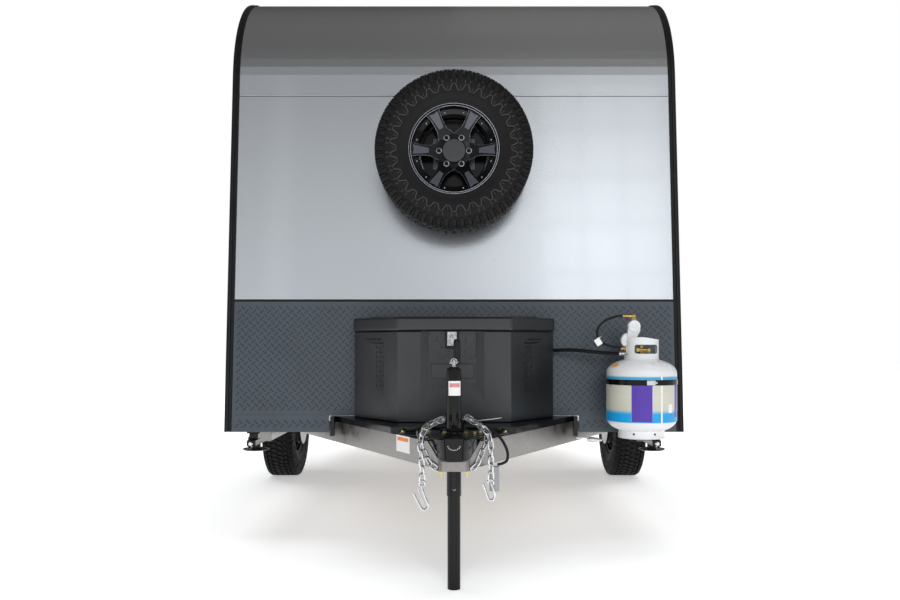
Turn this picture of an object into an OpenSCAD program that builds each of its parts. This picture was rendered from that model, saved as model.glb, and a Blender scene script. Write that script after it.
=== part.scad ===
// Small travel trailer on its tongue jack, millimetres.
// The coupler points to -Y, Z is up from the ground, the entry door is on the -X side.

/* [Body] */
// width over the side walls
body_w = 2160; // [1900:10:2300]
// front wall foot to rear wall face
body_len = 3660; // [3400:10:4200]
// lower edge of the walls
body_bottom = 530; // [500:5:600]
// top of the roof skin
roof_z = 2790; // [2600:5:2900]
// thickness of the walls and the roof
wall_t = 38; // [30:1:50]
// lean of the front wall from upright, degrees
front_lean = 5.1; // [3:0.1:7]
// radius of the nose between front wall and roof
nose_r = 575; // [450:5:650]
// radius between rear wall and roof
rear_r = 340; // [250:5:450]
// height of the lap seam in the front skin
seam_z = 2165; // [2050:5:2180]
// top edge of the tread plate
plate_top = 1151; // [1090:1:1200]

/* [Frame] */
// width of the frame tubes
tube_w = 50.8; // [40:0.1:60]
// depth of the frame tubes
tube_h = 101.6; // [90:0.1:101.6]
// top of the frame tubes
frame_top = 581; // [575:1:585]
// outer face of the drawbar where it meets the front wall
drawbar_x = 546; // [500:1:570]
// half angle of the drawbar, degrees
drawbar_a = 30; // [29:0.5:31]
// front wall foot to the tip of the coupler
tongue_len = 930; // [920:1:940]
// outer face of the main rails in from the side walls
rail_inset = 149; // [130:1:200]
// how far the bumper stands out behind the rear wall
bumper_reach = 50; // [46:1:80]

/* [Running gear] */
// outside diameter of the tyres
tyre_d = 727; // [690:1:740]
// width of the tyres
tyre_w = 215; // [205:1:225]
// diameter of the rim flange
rim_d = 417; // [410:1:424]
// room between the side walls and the tyres
wheel_gap = 17.5; // [12:0.5:40]
// axle behind the foot of the front wall
axle_back = 2070; // [1950:5:2150]
// height of the middle of the spare wheel
spare_z = 1835; // [1800:5:1860]

/* [Tongue jack] */
// jack ahead of the front wall foot
jack_ahead = 710; // [705:1:715]
// outer radius of the jack tube
jack_r = 28.5; // [27:0.5:30]
// stroke of the jack leg
jack_stroke = 330; // [250:5:335]

/* [Tool box] */
// width of the tool box at its back
box_w = 932; // [850:2:960]
// width of the tool box at its front face
box_front_w = 497; // [440:1:520]
// tool box front face ahead of the front wall foot
box_ahead = 334; // [320:1:350]
// seam between tool box and lid
box_seam = 1002; // [950:1:1020]
// top of the lid
box_top = 1064; // [1050:1:1080]

/* [Gas bottle] */
// diameter of the gas bottle
bottle_d = 310; // [290:1:320]
// middle of the bottle from the middle of the trailer
bottle_x = 842; // [820:1:850]
// middle of the bottle ahead of the front wall foot
bottle_ahead = 190; // [185:1:200]
// foot of the bottle
bottle_z = 527; // [520:1:540]

/* [Doors] */
// width of the entry door opening
door_w = 660; // [600:5:700]
// height of the entry door opening
door_h = 1720; // [1600:5:1760]
// width of the rear door opening
rear_door_w = 820; // [700:5:900]
// height of the rear door opening
rear_door_h = 1120; // [1000:5:1200]
// gap around each door
door_gap = 6; // [5:0.5:8]

/* [Hidden] */
$fn = 64;
front_y = tongue_len - (tongue_len + body_len + bumper_reach) / 2;
rear_y = front_y + body_len;
axle_y = front_y + axle_back;
tyre_r = tyre_d / 2;
rim_r = rim_d / 2;
half_w = body_w / 2;
rail_x = half_w - rail_inset;
wheel_x = half_w + wheel_gap + tyre_w / 2;
inner_x = half_w - wall_t;
floor_t = 30;
floor_z = frame_top + floor_t;
frame_z = frame_top - tube_h;
nose_z = roof_z - nose_r;
nose_y = front_y + (nose_r + (nose_z - body_bottom) * sin(front_lean)) / cos(front_lean);
tail_y = rear_y - rear_r;
tail_z = roof_z - rear_r;
jack_y = front_y - jack_ahead;
tip_y = front_y - tongue_len;
jack_foot = 360;
jack_top = 850;
ball_y = tip_y + 56;
drawbar_end = tip_y + 132;
tray_z = frame_top + 25;
hinge_z = box_seam + 4;
box_back = front_y - 32;
bottle_y = front_y - bottle_ahead;
door_y = front_y + 760;
door_z = floor_z + 1;
rear_door_z = floor_z + 1;
window_z = 1380;
window_h = 470;
vent_y = front_y + 1750;
vent_w = 356;
spare_y = front_y + (spare_z - body_bottom) * tan(front_lean) - 66 - tyre_w / 2;
trim_w = 30;
trim_out = 6;

function arc(cy, cz, r, a0, a1, n) =
  [for (i = [0:n]) [cy + r * cos(a0 + (a1 - a0) * i / n), cz + r * sin(a0 + (a1 - a0) * i / n)]];
function front_at(z, t) = front_y + (z - body_bottom) * tan(front_lean) + t / cos(front_lean);
function nose_arc(t) = arc(nose_y, nose_z, nose_r - t, 180 - front_lean, 90, 20);
function tail_arc(t) = arc(tail_y, tail_z, rear_r - t, 90, 0, 16);
function backwards(v) = [for (i = [len(v) - 1:-1:0]) v[i]];

// Side view outline of the body, moved in by t, from height zb up.
function outline(t, zb) = concat(
  [[front_at(zb, t), zb]],
  nose_arc(t),
  tail_arc(t),
  [[rear_y - t, zb]]
);

// Band between two outlines.
function band(t0, t1, zb) = concat(outline(t0, zb), backwards(outline(t1, zb)));

// A side view outline pulled from x0 to x1.
module along_x(pts, x0, x1) {
  translate([x0, 0, 0])
    rotate([90, 0, 90])
      linear_extrude(x1 - x0)
        polygon(pts);
}

module block(x0, x1, y0, y1, z0, z1) {
  translate([x0, y0, z0])
    cube([x1 - x0, y1 - y0, z1 - z0]);
}

module both_sides() {
  children();
  mirror([1, 0, 0])
    children();
}

// Smooth route through points, n steps a span.
function route(p, n) = [
  for (i = [0:len(p) - 2])
    for (k = [0:(i == len(p) - 2 ? n : n - 1)])
      let (
        t = k / n,
        a = p[max(i - 1, 0)],
        b = p[i],
        c = p[i + 1],
        d = p[min(i + 2, len(p) - 1)]
      )
      0.5 * (2 * b + (c - a) * t + (2 * a - 5 * b + 4 * c - d) * t * t + (3 * b - a - 3 * c + d) * t * t * t)
];
function unit(v) = v / norm(v);
function lead(p, i) = unit(p[min(i + 1, len(p) - 1)] - p[max(i - 1, 0)]);
function side_of(p, i, prev) = unit(prev - (prev * lead(p, i)) * lead(p, i));
function sides(p, i = 0, prev = [0.31, 0.52, 0.79]) =
  i >= len(p) ? [] : let (s = side_of(p, i, prev)) concat([s], sides(p, i + 1, s));

// Round cord along a route.
module cord(p, r, n = 8) {
  s = sides(p);
  m = len(p);
  pts = [
    for (i = [0:m - 1])
      for (k = [0:n - 1])
        let (u = s[i], v = cross(lead(p, i), s[i]), a = 360 * k / n)
        p[i] + r * (cos(a) * u + sin(a) * v)
  ];
  walls = [
    for (i = [0:m - 2])
      for (k = [0:n - 1])
        [i * n + k, i * n + (k + 1) % n, (i + 1) * n + (k + 1) % n, (i + 1) * n + k]
  ];
  ends = [
    [for (k = [n - 1:-1:0]) k],
    [for (k = [0:n - 1]) (m - 1) * n + k]
  ];
  polyhedron(points = pts, faces = [for (f = concat(walls, ends)) backwards(f)], convexity = 10);
}

module front_wall() {
  color("silver")
    difference() {
      along_x([
        [front_at(body_bottom, 0), body_bottom],
        [front_at(seam_z, 0), seam_z],
        [front_at(seam_z, wall_t), seam_z],
        [front_at(body_bottom, wall_t), body_bottom]
      ], -inner_x, inner_x);
      block(-drawbar_x - 45, drawbar_x + 45, front_y - 50, front_y + 100, body_bottom - 10, frame_top + 1);
    }
}

module nose_panel() {
  color("silver")
    along_x(concat(
      [[front_at(seam_z, 0), seam_z]],
      nose_arc(0),
      backwards(nose_arc(wall_t)),
      [[front_at(seam_z, wall_t), seam_z]]
    ), -inner_x, inner_x);
}

module roof() {
  color("silver")
    difference() {
      block(-inner_x, inner_x, nose_y, tail_y, roof_z - wall_t, roof_z);
      block(-vent_w / 2, vent_w / 2, vent_y, vent_y + vent_w, roof_z - wall_t - 10, roof_z + 10);
    }
}

module rear_wall() {
  color("silver")
    difference() {
      along_x(concat(
        [[rear_y, body_bottom]],
        backwards(tail_arc(0)),
        tail_arc(wall_t),
        [[rear_y - wall_t, body_bottom]]
      ), -inner_x, inner_x);
      block(-rear_door_w / 2, rear_door_w / 2, rear_y - 100, rear_y + 20, rear_door_z, rear_door_z + rear_door_h);
    }
}

module side_wall_left() {
  color("silver")
    difference() {
      along_x(outline(0, body_bottom), inner_x, half_w);
      block(inner_x - 10, half_w + 10, axle_y - 900, axle_y - 150, window_z, window_z + window_h);
    }
}

module side_wall_right() {
  color("silver")
    difference() {
      along_x(outline(0, body_bottom), -half_w, -inner_x);
      block(-half_w - 10, -inner_x + 10, door_y, door_y + door_w, door_z, door_z + door_h);
      block(-half_w - 10, -inner_x + 10, axle_y - 250, axle_y + 450, window_z, window_z + window_h);
    }
}

module cabin_floor() {
  color("burlywood")
    block(-inner_x, inner_x, front_at(floor_z, wall_t), rear_y - wall_t, frame_top, floor_z);
}

// Edge extrusion that covers the joint between each side wall and the skins.
module edge_trims() {
  color("black")
    both_sides()
      union() {
        along_x(band(-trim_out, 0, body_bottom), half_w - trim_w, half_w + trim_out);
        along_x(band(-0.5, 24, body_bottom), half_w, half_w + trim_out);
      }
}

module tread_plates() {
  x = half_w - trim_w;
  color("dimgray") {
    along_x([
      [front_at(frame_top + 26, 0), frame_top + 26],
      [front_at(plate_top, 0), plate_top],
      [front_at(plate_top, -3), plate_top],
      [front_at(frame_top + 26, -3), frame_top + 26]
    ], -x, x);
    both_sides()
      along_x([
        [front_at(body_bottom, 0), body_bottom],
        [front_at(frame_top + 25, 0), frame_top + 25],
        [front_at(frame_top + 25, -3), frame_top + 25],
        [front_at(body_bottom, -3), body_bottom]
      ], drawbar_x + 45, x);
    block(half_w, half_w + 3, front_at(body_bottom, 26) + 60, rear_y - 26, body_bottom, plate_top);
    // The door side and the rear are in three sheets each, with the doorways between them.
    for (e = [
      [front_at(body_bottom, 26) + 60, door_y, plate_top],
      [door_y + 2, door_y + door_w - 2, door_z],
      [door_y + door_w, rear_y - 26, plate_top]
    ])
      block(-half_w - 3, -half_w, e[0], e[1], body_bottom, e[2]);
    for (e = [
      [-x, -rear_door_w / 2, plate_top],
      [2 - rear_door_w / 2, rear_door_w / 2 - 2, rear_door_z],
      [rear_door_w / 2, x, plate_top]
    ])
      block(e[0], e[1], rear_y, rear_y + 3, body_bottom, e[2]);
  }
}

// Flat-topped wheel arches outside the walls.
module fenders() {
  t = 5;
  out = wheel_x + tyre_w / 2 + 10;
  top = tyre_d + 93;
  half = tyre_r + 16.5;
  function arch(e) = [
    [axle_y - half - 140 + e, top - 300],
    [axle_y - half + e * 0.7, top - e],
    [axle_y + half - e * 0.7, top - e],
    [axle_y + half + 140 - e, top - 300]
  ];
  color("black")
    both_sides()
      union() {
        along_x(concat(arch(0), backwards(arch(t))), half_w + 3, out);
        along_x(concat(arch(0), backwards(arch(35))), out - t, out);
      }
}

module side_windows() {
  color("darkslategray") {
    block(half_w - 12, half_w - 6, axle_y - 900, axle_y - 150, window_z, window_z + window_h);
    block(-half_w + 6, -half_w + 12, axle_y - 250, axle_y + 450, window_z, window_z + window_h);
  }
}

module drawbar() {
  color("gray") {
    both_sides()
      difference() {
        translate([drawbar_x, front_y, frame_z])
          rotate([0, 0, -drawbar_a])
            translate([-tube_w, -1100, 0])
              cube([tube_w, 1100 + 560, tube_h]);
        block(-400, 400, front_y - 1200, drawbar_end, frame_z - 10, frame_top + 10);
      }
    translate([0, 0, frame_z - 8])
      linear_extrude(46)
        polygon([
          [-58, drawbar_end - 1], [-58, drawbar_end - 28], [-44, drawbar_end - 42],
          [44, drawbar_end - 42], [58, drawbar_end - 28], [58, drawbar_end - 1]
        ]);
  }
}

module frame_rails() {
  color("gray")
    both_sides()
      block(rail_x - tube_w, rail_x, front_y + 60, rear_y - 45, frame_z, frame_top);
}

module cross_members() {
  inner = rail_x - tube_w;
  ys = [front_y + 780, axle_y - 420, axle_y + 120, axle_y + 560, axle_y + 1100, rear_y - 100];
  color("gray")
    for (y = ys)
      block(-inner, inner, y, y + tube_w, frame_z + 25, frame_top);
}

module coupler() {
  color("black")
    difference() {
      union() {
        hull() {
          translate([0, 0, 607])
            linear_extrude(1)
              polygon([
                [-34, tip_y], [34, tip_y], [62, tip_y + 26], [112, tip_y + 104],
                [112, drawbar_end - 2], [-112, drawbar_end - 2], [-112, tip_y + 104], [-62, tip_y + 26]
              ]);
          translate([0, 0, 518])
            linear_extrude(1)
              polygon([
                [-28, tip_y + 10], [28, tip_y + 10], [48, tip_y + 30], [60, tip_y + 100],
                [60, drawbar_end - 2], [-60, drawbar_end - 2], [-60, tip_y + 100], [-48, tip_y + 30]
              ]);
        }
        difference() {
          translate([0, 0, frame_top])
            linear_extrude(27)
              polygon([
                [-112, drawbar_end - 3], [112, drawbar_end - 3], [118, jack_y - 10], [150, jack_y + 52],
                [-150, jack_y + 52], [-118, jack_y - 10]
              ]);
          translate([0, jack_y, frame_top - 5])
            cylinder(r = jack_r + 1, h = 40);
        }
        translate([0, 0, frame_top])
          linear_extrude(8)
            polygon([
              [-150, jack_y + 51], [150, jack_y + 51], [226, jack_y + 150], [186, jack_y + 172],
              [92, jack_y + 66], [-92, jack_y + 66], [-186, jack_y + 172], [-226, jack_y + 150]
            ]);
      }
      translate([0, ball_y, 516])
        cylinder(r = 26, h = 30);
      translate([0, ball_y, 546])
        sphere(r = 26);
    }
}

// Pan on the drawbar that carries the tool box.
module tongue_tray() {
  slope = tan(drawbar_a);
  far = 530;
  xn = drawbar_x + 18;
  xf = xn - far * slope;
  color("black")
    union() {
      difference() {
        translate([0, 0, frame_top])
          linear_extrude(tray_z - frame_top)
            polygon([[-xn, front_y - 3], [xn, front_y - 3], [xf, front_y - far], [-xf, front_y - far]]);
        translate([0, 0, frame_top - 1])
          linear_extrude(tray_z - frame_top - 3)
            polygon([
              [-xn + 8, front_y - 8], [xn - 8, front_y - 8],
              [xf - 3, front_y - far + 4], [-xf + 3, front_y - far + 4]
            ]);
      }
      both_sides()
        block(xn - 4, xn + 14, front_y - 44, front_y - 3, 515, tray_z);
    }
}

function box_plan(e) = [
  [-box_w / 2 + e, box_back - e],
  [box_w / 2 - e, box_back - e],
  [box_w / 2 - e, box_back - 43 + e * 0.4],
  [box_front_w / 2 - e * 0.4, front_y - box_ahead + e],
  [-box_front_w / 2 + e * 0.4, front_y - box_ahead + e],
  [-box_w / 2 + e, box_back - 43 + e * 0.4]
];

module tool_box() {
  y = front_y - box_ahead + 6;
  color("black")
    union() {
      difference() {
        translate([0, 0, tray_z])
          linear_extrude(box_seam - 1 - tray_z)
            polygon(box_plan(6));
        translate([0, 0, tray_z + 6])
          linear_extrude(box_seam)
            polygon(box_plan(14));
      }
      block(-31, 12, y - 5, y + 2, box_seam - 68, box_seam - 4);
    }
}

module box_lid() {
  color("black")
    union() {
      difference() {
        union() {
          translate([0, 0, box_seam])
            linear_extrude(box_top - box_seam - 14)
              polygon(box_plan(0));
          translate([0, 0, box_top - 15])
            linear_extrude(15)
              polygon(box_plan(14));
        }
        translate([0, 0, box_seam - 1])
          linear_extrude(box_top - box_seam - 8)
            polygon(box_plan(20));
      }
      for (x = [-300, 220]) {
        translate([x, box_back + 4, hinge_z - 2])
          rotate([0, 90, 0])
            cylinder(r = 4.5, h = 80);
        block(x + 5, x + 75, box_back - 3, box_back + 4, hinge_z - 2, hinge_z + 30);
      }
    }
}

module jack_tube() {
  color("black")
    difference() {
      union() {
        translate([0, jack_y, jack_foot])
          cylinder(r = jack_r, h = jack_top - jack_foot);
        translate([0, jack_y, jack_top])
          cylinder(r = 19, h = 8);
        translate([0, jack_y, frame_top + 27])
          cylinder(r = 54, h = 8);
      }
      translate([0, jack_y, jack_foot - 1])
        cylinder(r = jack_r - 2.5, h = jack_top - jack_foot - 6);
    }
}

module jack_leg() {
  color("black")
    translate([0, jack_y, 0])
      difference() {
        cylinder(r = jack_r - 3.1, h = jack_top - jack_stroke - 20);
        translate([0, 0, 6])
          cylinder(r = jack_r - 7, h = 500);
      }
}

module jack_crank() {
  color("silver") {
    translate([0, jack_y, jack_top + 8])
      cylinder(r = 9, h = 26);
    block(-6, 14, jack_y, jack_y + 50, jack_top + 14, jack_top + 26);
    translate([11, jack_y + 50, jack_top + 12])
      cylinder(r = 14, h = 104);
  }
}

// Steel gas bottle: domed shell, foot ring and open collar.
module gas_bottle() {
  r = bottle_d / 2;
  color("white")
    translate([bottle_x, bottle_y, bottle_z]) {
      rotate_extrude()
        polygon([
          [0, 18], [r * 0.5, 26], [r * 0.68, 36], [r * 0.84, 49], [r * 0.95, 62], [r * 0.99, 72], [r, 84],
          [r, 292], [r * 0.99, 302], [r * 0.95, 312], [r * 0.86, 324], [r * 0.68, 340], [r * 0.48, 351], [30, 358], [0, 358]
        ]);
      difference() {
        cylinder(r = 103, h = 44);
        translate([0, 0, -1])
          cylinder(r = 100, h = 60);
      }
      difference() {
        translate([0, 0, 336])
          cylinder(r = 76, h = 112);
        translate([0, 0, 335])
          cylinder(r = 73, h = 130);
        translate([-44, -100, 379])
          cube([104, 100, 40]);
        translate([-100, -40, 372])
          cube([60, 80, 90]);
      }
    }
}

module bottle_valve() {
  color("goldenrod")
    translate([bottle_x, bottle_y, bottle_z]) {
      translate([0, 0, 358])
        cylinder(r = 14, h = 64);
      translate([0, 0, 404])
        cylinder(r = 25, h = 12);
      translate([0, 0, 394])
        rotate([0, -90, 0])
          cylinder(r = 9, h = 62);
      rotate([90, 0, 0])
        translate([0, 0, -18])
          linear_extrude(36)
            union() {
              translate([-62, 398])
                circle(r = 22);
              translate([-34, 492])
                circle(r = 27);
              polygon([[-76, 410], [-46, 392], [-14, 484], [-54, 496]]);
            }
      translate([-34, 0, 510])
        cylinder(r = 9, h = 40);
    }
}

module bottle_bracket() {
  r = bottle_d / 2;
  color("black") {
    union() {
      block(bottle_x - 60, bottle_x + 30, bottle_y - 60, front_y + 56, bottle_z - 8, bottle_z - 0.5);
      block(bottle_x - 60, bottle_x + 30, front_y + 46, front_y + 56, bottle_z - 8, frame_top);
    }
    difference() {
      union() {
        translate([bottle_x, bottle_y, bottle_z + 239])
          cylinder(r = r + 3.5, h = 24);
        block(bottle_x - 60, bottle_x + 60, bottle_y + 60, front_at(bottle_z + 239, -3), bottle_z + 239, bottle_z + 263);
      }
      translate([bottle_x, bottle_y, bottle_z + 230])
        cylinder(r = r + 0.5, h = 40);
    }
  }
}

module gas_hoses() {
  x = bottle_x;
  y = bottle_y;
  z = bottle_z;
  color("black") {
    cord(route([
      [x - 86, y + 10, z + 376], [x - 135, y + 40, z + 376], [x - 209, y + 80, z + 383],
      [x - 286, y + 118, z + 390], [x - 342, y + 148, z + 390], [x - 387, y + 176, z + 387],
      [x - 424, y + 200, z + 383], [x - 448, y + 212, z + 380]
    ], 5), 8.5, 8);
    cord(route([
      [x - 48, y, z + 545], [x - 82, y + 4, z + 546], [x - 120, y + 14, z + 540], [x - 160, y + 26, z + 522],
      [x - 186, y + 32, z + 494], [x - 192, y + 34, z + 462], [x - 184, y + 32, z + 436],
      [x - 164, y + 26, z + 420], [x - 134, y + 16, z + 408], [x - 86, y + 2, z + 400]
    ], 5), 5.5, 8);
  }
}

module plug_cable() {
  y = jack_y;
  color("black")
    cord(route([
      [34, y + 46, 618], [46, y + 40, 650], [70, y + 20, 652], [96, y + 4, 640], [132, y - 4, 622],
      [164, y - 10, 600], [190, y - 14, 568], [206, y - 18, 530], [204, y - 22, 500], [186, y - 26, 488],
      [166, y - 28, 484]
    ], 5), 5.5, 8);
}

module cable_plug() {
  color("dimgray")
    translate([155, jack_y - 29, 384])
      cylinder(r = 19, h = 93);
}

// Stand-ins for the two link chains and their hooks.
module safety_chains() {
  y = tip_y + 104;
  color("silver") {
    cord(route([
      [-59.5, y + 12, 492], [-84, y + 12, 500], [-112, y + 22, 540], [-127, y + 36, 592], [-114, y + 52, 630],
      [-96, y + 46, 646], [-100, y + 18, 640], [-126, y - 6, 600], [-121, y - 8, 520], [-117, y - 8, 450],
      [-116, y - 8, 384], [-116, y - 8, 325]
    ], 4), 8, 8);
    cord(route([
      [59.5, y + 12, 492], [84, y + 12, 500], [112, y + 22, 540], [127, y + 36, 592], [114, y + 52, 632],
      [98, y + 46, 650], [106, y + 18, 644], [136, y - 6, 604], [138, y - 8, 520], [138, y - 8, 450],
      [136, y - 8, 400], [132, y - 8, 358]
    ], 4), 8, 8);
  }
}

// Rubber torsion axle: square beam, trailing arms, spindles and brake plates.
module axle_beam() {
  arm_y = axle_y - 150;
  arm_z = tyre_r + 52;
  arm_x = rail_x + 29;
  color("dimgray") {
    block(-arm_x, arm_x, arm_y - 38, arm_y + 38, arm_z - 38, arm_z + 38);
    both_sides() {
      block(rail_x - tube_w - 6, rail_x + 6, arm_y - 90, arm_y + 90, arm_z + 38, frame_z);
      union() {
        translate([arm_x, arm_y, arm_z])
          rotate([0, 90, 0])
            cylinder(r = 36, h = 40);
        translate([arm_x, axle_y, tyre_r])
          rotate([0, 90, 0])
            cylinder(r = 36, h = 40);
        translate([arm_x, arm_y, arm_z])
          rotate([-atan2(52, 150), 0, 0])
            translate([0, 0, -30])
              cube([40, norm([150, 52]), 60]);
        translate([arm_x + 30, axle_y, tyre_r])
          rotate([0, 90, 0])
            cylinder(r = 20, h = wheel_x - 25 - arm_x - 30);
        translate([wheel_x - 121, axle_y, tyre_r])
          rotate([0, 90, 0])
            cylinder(r = 138, h = 6);
      }
    }
  }
}

module stabilizers() {
  x = half_w - 80;
  color("black")
    both_sides()
      for (y = [front_y + 280, rear_y - 330])
        union() {
          translate([x, y, 410])
            cylinder(r = 66, h = 8);
          translate([x, y, 416])
            cylinder(r = 22, h = 26);
          block(x - 22, x + 22, y - 110, y + 110, 440, 470);
          block(x - 22, x + 22, y - 60, y + 60, 470, 500);
          block(rail_x, x + 30, y - 75, y + 75, 500, 520);
        }
}

module spare_carrier() {
  color("black") {
    translate([0, spare_y, spare_z])
      rotate([-90, 0, 0])
        cylinder(r = 84, h = 10);
    difference() {
      translate([0, spare_y + 10, spare_z])
        rotate([-90, 0, 0])
          cylinder(r = 40, h = 200);
      along_x(outline(0, body_bottom), -100, 100);
    }
  }
}

// Road wheel in its own frame: axis along X, outer face to +X.
module rim_shape() {
  rotate([0, 90, 0])
    union() {
      rotate_extrude()
        polygon([
          [rim_r, -88], [rim_r, -81], [rim_r - 18, -78], [rim_r - 18, -52], [168, -30], [168, 28],
          [rim_r - 18, 50], [rim_r - 18, 78], [rim_r, 81], [rim_r, 88], [rim_r - 12, 88],
          [rim_r - 26, 74], [rim_r - 26, 48], [160, 28], [160, -30], [rim_r - 26, -50], [rim_r - 26, -84], [rim_r - 12, -88]
        ]);
      difference() {
        rotate_extrude()
          polygon([[0, 0], [86, 0], [120, 20], [rim_r - 28, 50], [rim_r - 20, 70], [150, 60], [92, 22], [0, 22]]);
        for (k = [0:5])
          rotate([0, 0, 60 * k])
            translate([128, 0, -20])
              cylinder(r = 34, h = 120);
        for (k = [0:5])
          rotate([0, 0, 60 * k + 30])
            translate([69.85, 0, -5])
              cylinder(r = 8, h = 60);
      }
      translate([0, 0, 15])
        cylinder(r = 50, h = 40);
    }
}

module tyre_shape() {
  w = tyre_w / 2;
  wall = tyre_r - rim_r;
  function up(f) = rim_r + f * wall;
  outer = [
    [rim_r - 17, 76], [rim_r + 2, 78], [up(0.14), w - 9.5], [up(0.43), w], [up(0.66), w - 2],
    [up(0.84), w - 8], [up(0.95), w - 16], [tyre_r, w - 32]
  ];
  inner = [
    [up(0.86), w - 44], [up(0.75), w - 22], [up(0.53), w - 14], [up(0.2), w - 23.5],
    [rim_r, 60], [rim_r - 17, 52]
  ];
  function flip(v) = [for (i = [len(v) - 1:-1:0]) [v[i][0], -v[i][1]]];
  rotate([0, 90, 0])
    rotate_extrude()
      polygon(concat(outer, flip(outer), flip(inner), inner));
}

module hub_shape() {
  rotate([0, 90, 0])
    difference() {
      union() {
        translate([0, 0, -98])
          cylinder(r = 134, h = 60);
        translate([0, 0, -40])
          cylinder(r = 82, h = 40);
        for (k = [0:5])
          rotate([0, 0, 60 * k + 30])
            translate([69.85, 0, -5])
              cylinder(r = 6.5, h = 40);
      }
      translate([0, 0, -100])
        cylinder(r = 24, h = 92);
    }
}

module rim_left() {
  color("black")
    translate([wheel_x, axle_y, tyre_r])
      union() {
        rim_shape();
        hub_shape();
      }
}

module tyre_left() {
  color("black")
    translate([wheel_x, axle_y, tyre_r])
      tyre_shape();
}

module rim_right() {
  mirror([1, 0, 0])
    rim_left();
}

module tyre_right() {
  mirror([1, 0, 0])
    tyre_left();
}

module spare_rim() {
  color("black")
    translate([0, spare_y, spare_z])
      rotate([0, 0, -90])
        rim_shape();
}

module spare_tyre() {
  color("black")
    translate([0, spare_y, spare_z])
      rotate([0, 0, -90])
        tyre_shape();
}

module tail_lights() {
  color("red")
    both_sides()
      block(half_w - 220, half_w - 80, rear_y + 3, rear_y + 28, 900, 1060);
}

module rear_bumper() {
  x = half_w - 80;
  color("black")
    block(-x, x, rear_y - 44, rear_y + bumper_reach, 469, 529);
}

module vent_base() {
  color("white")
    frame_ring_flat(vent_w, 20, roof_z, roof_z + 40);
}

module frame_ring_flat(w, b, z0, z1) {
  difference() {
    block(-w / 2 - b, w / 2 + b, vent_y - b, vent_y + w + b, z0, z1);
    block(-w / 2 + 2, w / 2 - 2, vent_y + 2, vent_y + w - 2, z0 - 5, z1 + 5);
  }
}

module vent_lid() {
  w = vent_w / 2;
  color("white")
    union() {
      difference() {
        block(-w - 30, w + 30, vent_y - 30, vent_y + vent_w + 30, roof_z + 41, roof_z + 80);
        block(-w - 24, w + 24, vent_y - 24, vent_y + vent_w + 24, roof_z + 40, roof_z + 74);
      }
      for (x = [-140, 80])
        translate([x, vent_y - 26, roof_z + 46])
          rotate([0, 90, 0])
            cylinder(r = 3.5, h = 60);
    }
}

module bunk() {
  color("burlywood") {
    block(-inner_x, inner_x, rear_y - wall_t - 1250, rear_y - wall_t - 30, 1060, 1085);
    block(-inner_x, inner_x, rear_y - wall_t - 1250, rear_y - wall_t - 1225, floor_z, 1060);
  }
}

module mattress() {
  color("lightgray")
    block(-inner_x + 15, inner_x - 15, rear_y - wall_t - 1240, rear_y - wall_t - 40, 1085, 1205);
}

module galley() {
  color("tan")
    block(inner_x - 480, inner_x, front_y + 560, front_y + 1600, floor_z, floor_z + 880);
}

// Hinge barrel of radius r standing at x, y with its leaf [x0, x1, y0, y1].
module hinge(x, y, z, h, r, leaf) {
  translate([x, y, z])
    cylinder(r = r, h = h);
  block(leaf[0], leaf[1], leaf[2], leaf[3], z + 4, z + h - 4);
}

module entry_door() {
  g = door_gap;
  x = -half_w;
  color("silver")
    union() {
      difference() {
        block(x, -inner_x, door_y + g, door_y + door_w - g, door_z + g, door_z + door_h - g);
        block(x - 10, -inner_x + 10, door_y + 120, door_y + door_w - 120, door_z + 1000, door_z + 1450);
      }
      for (z = [door_z + 100, door_z + door_h / 2 - 40, door_z + door_h - 180])
        hinge(x - 12, door_y + 4, z, 80, 7, [x - 8, x + 1, door_y + 4, door_y + 42]);
    }
}

module door_glass() {
  color("darkslategray")
    block(-half_w + 8, -half_w + 14, door_y + 120, door_y + door_w - 120, door_z + 1000, door_z + 1450);
}

module rear_door() {
  g = door_gap;
  x = rear_door_w / 2;
  color("silver")
    union() {
      block(-x + g, x - g, rear_y - wall_t, rear_y, rear_door_z + g, rear_door_z + rear_door_h - g);
      for (z = [rear_door_z + 100, rear_door_z + rear_door_h - 180])
        hinge(x - 3.5, rear_y + 12, z, 80, 7, [x - 42, x - 3.5, rear_y - 1, rear_y + 8]);
    }
}

front_wall();
nose_panel();
roof();
rear_wall();
side_wall_left();
side_wall_right();
cabin_floor();
edge_trims();
tread_plates();
fenders();
side_windows();
drawbar();
frame_rails();
cross_members();
coupler();
tongue_tray();
tool_box();
jack_tube();
jack_crank();
gas_bottle();
bottle_valve();
bottle_bracket();
gas_hoses();
plug_cable();
cable_plug();
safety_chains();
axle_beam();
stabilizers();
spare_carrier();
spare_rim();
spare_tyre();
tail_lights();
rear_bumper();
vent_base();
bunk();
mattress();
galley();
vent_lid();
box_lid();
jack_leg();
entry_door();
door_glass();
rear_door();
rim_left();
tyre_left();
rim_right();
tyre_right();
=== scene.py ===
import math
import bpy
from mathutils import Matrix, Vector


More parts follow.
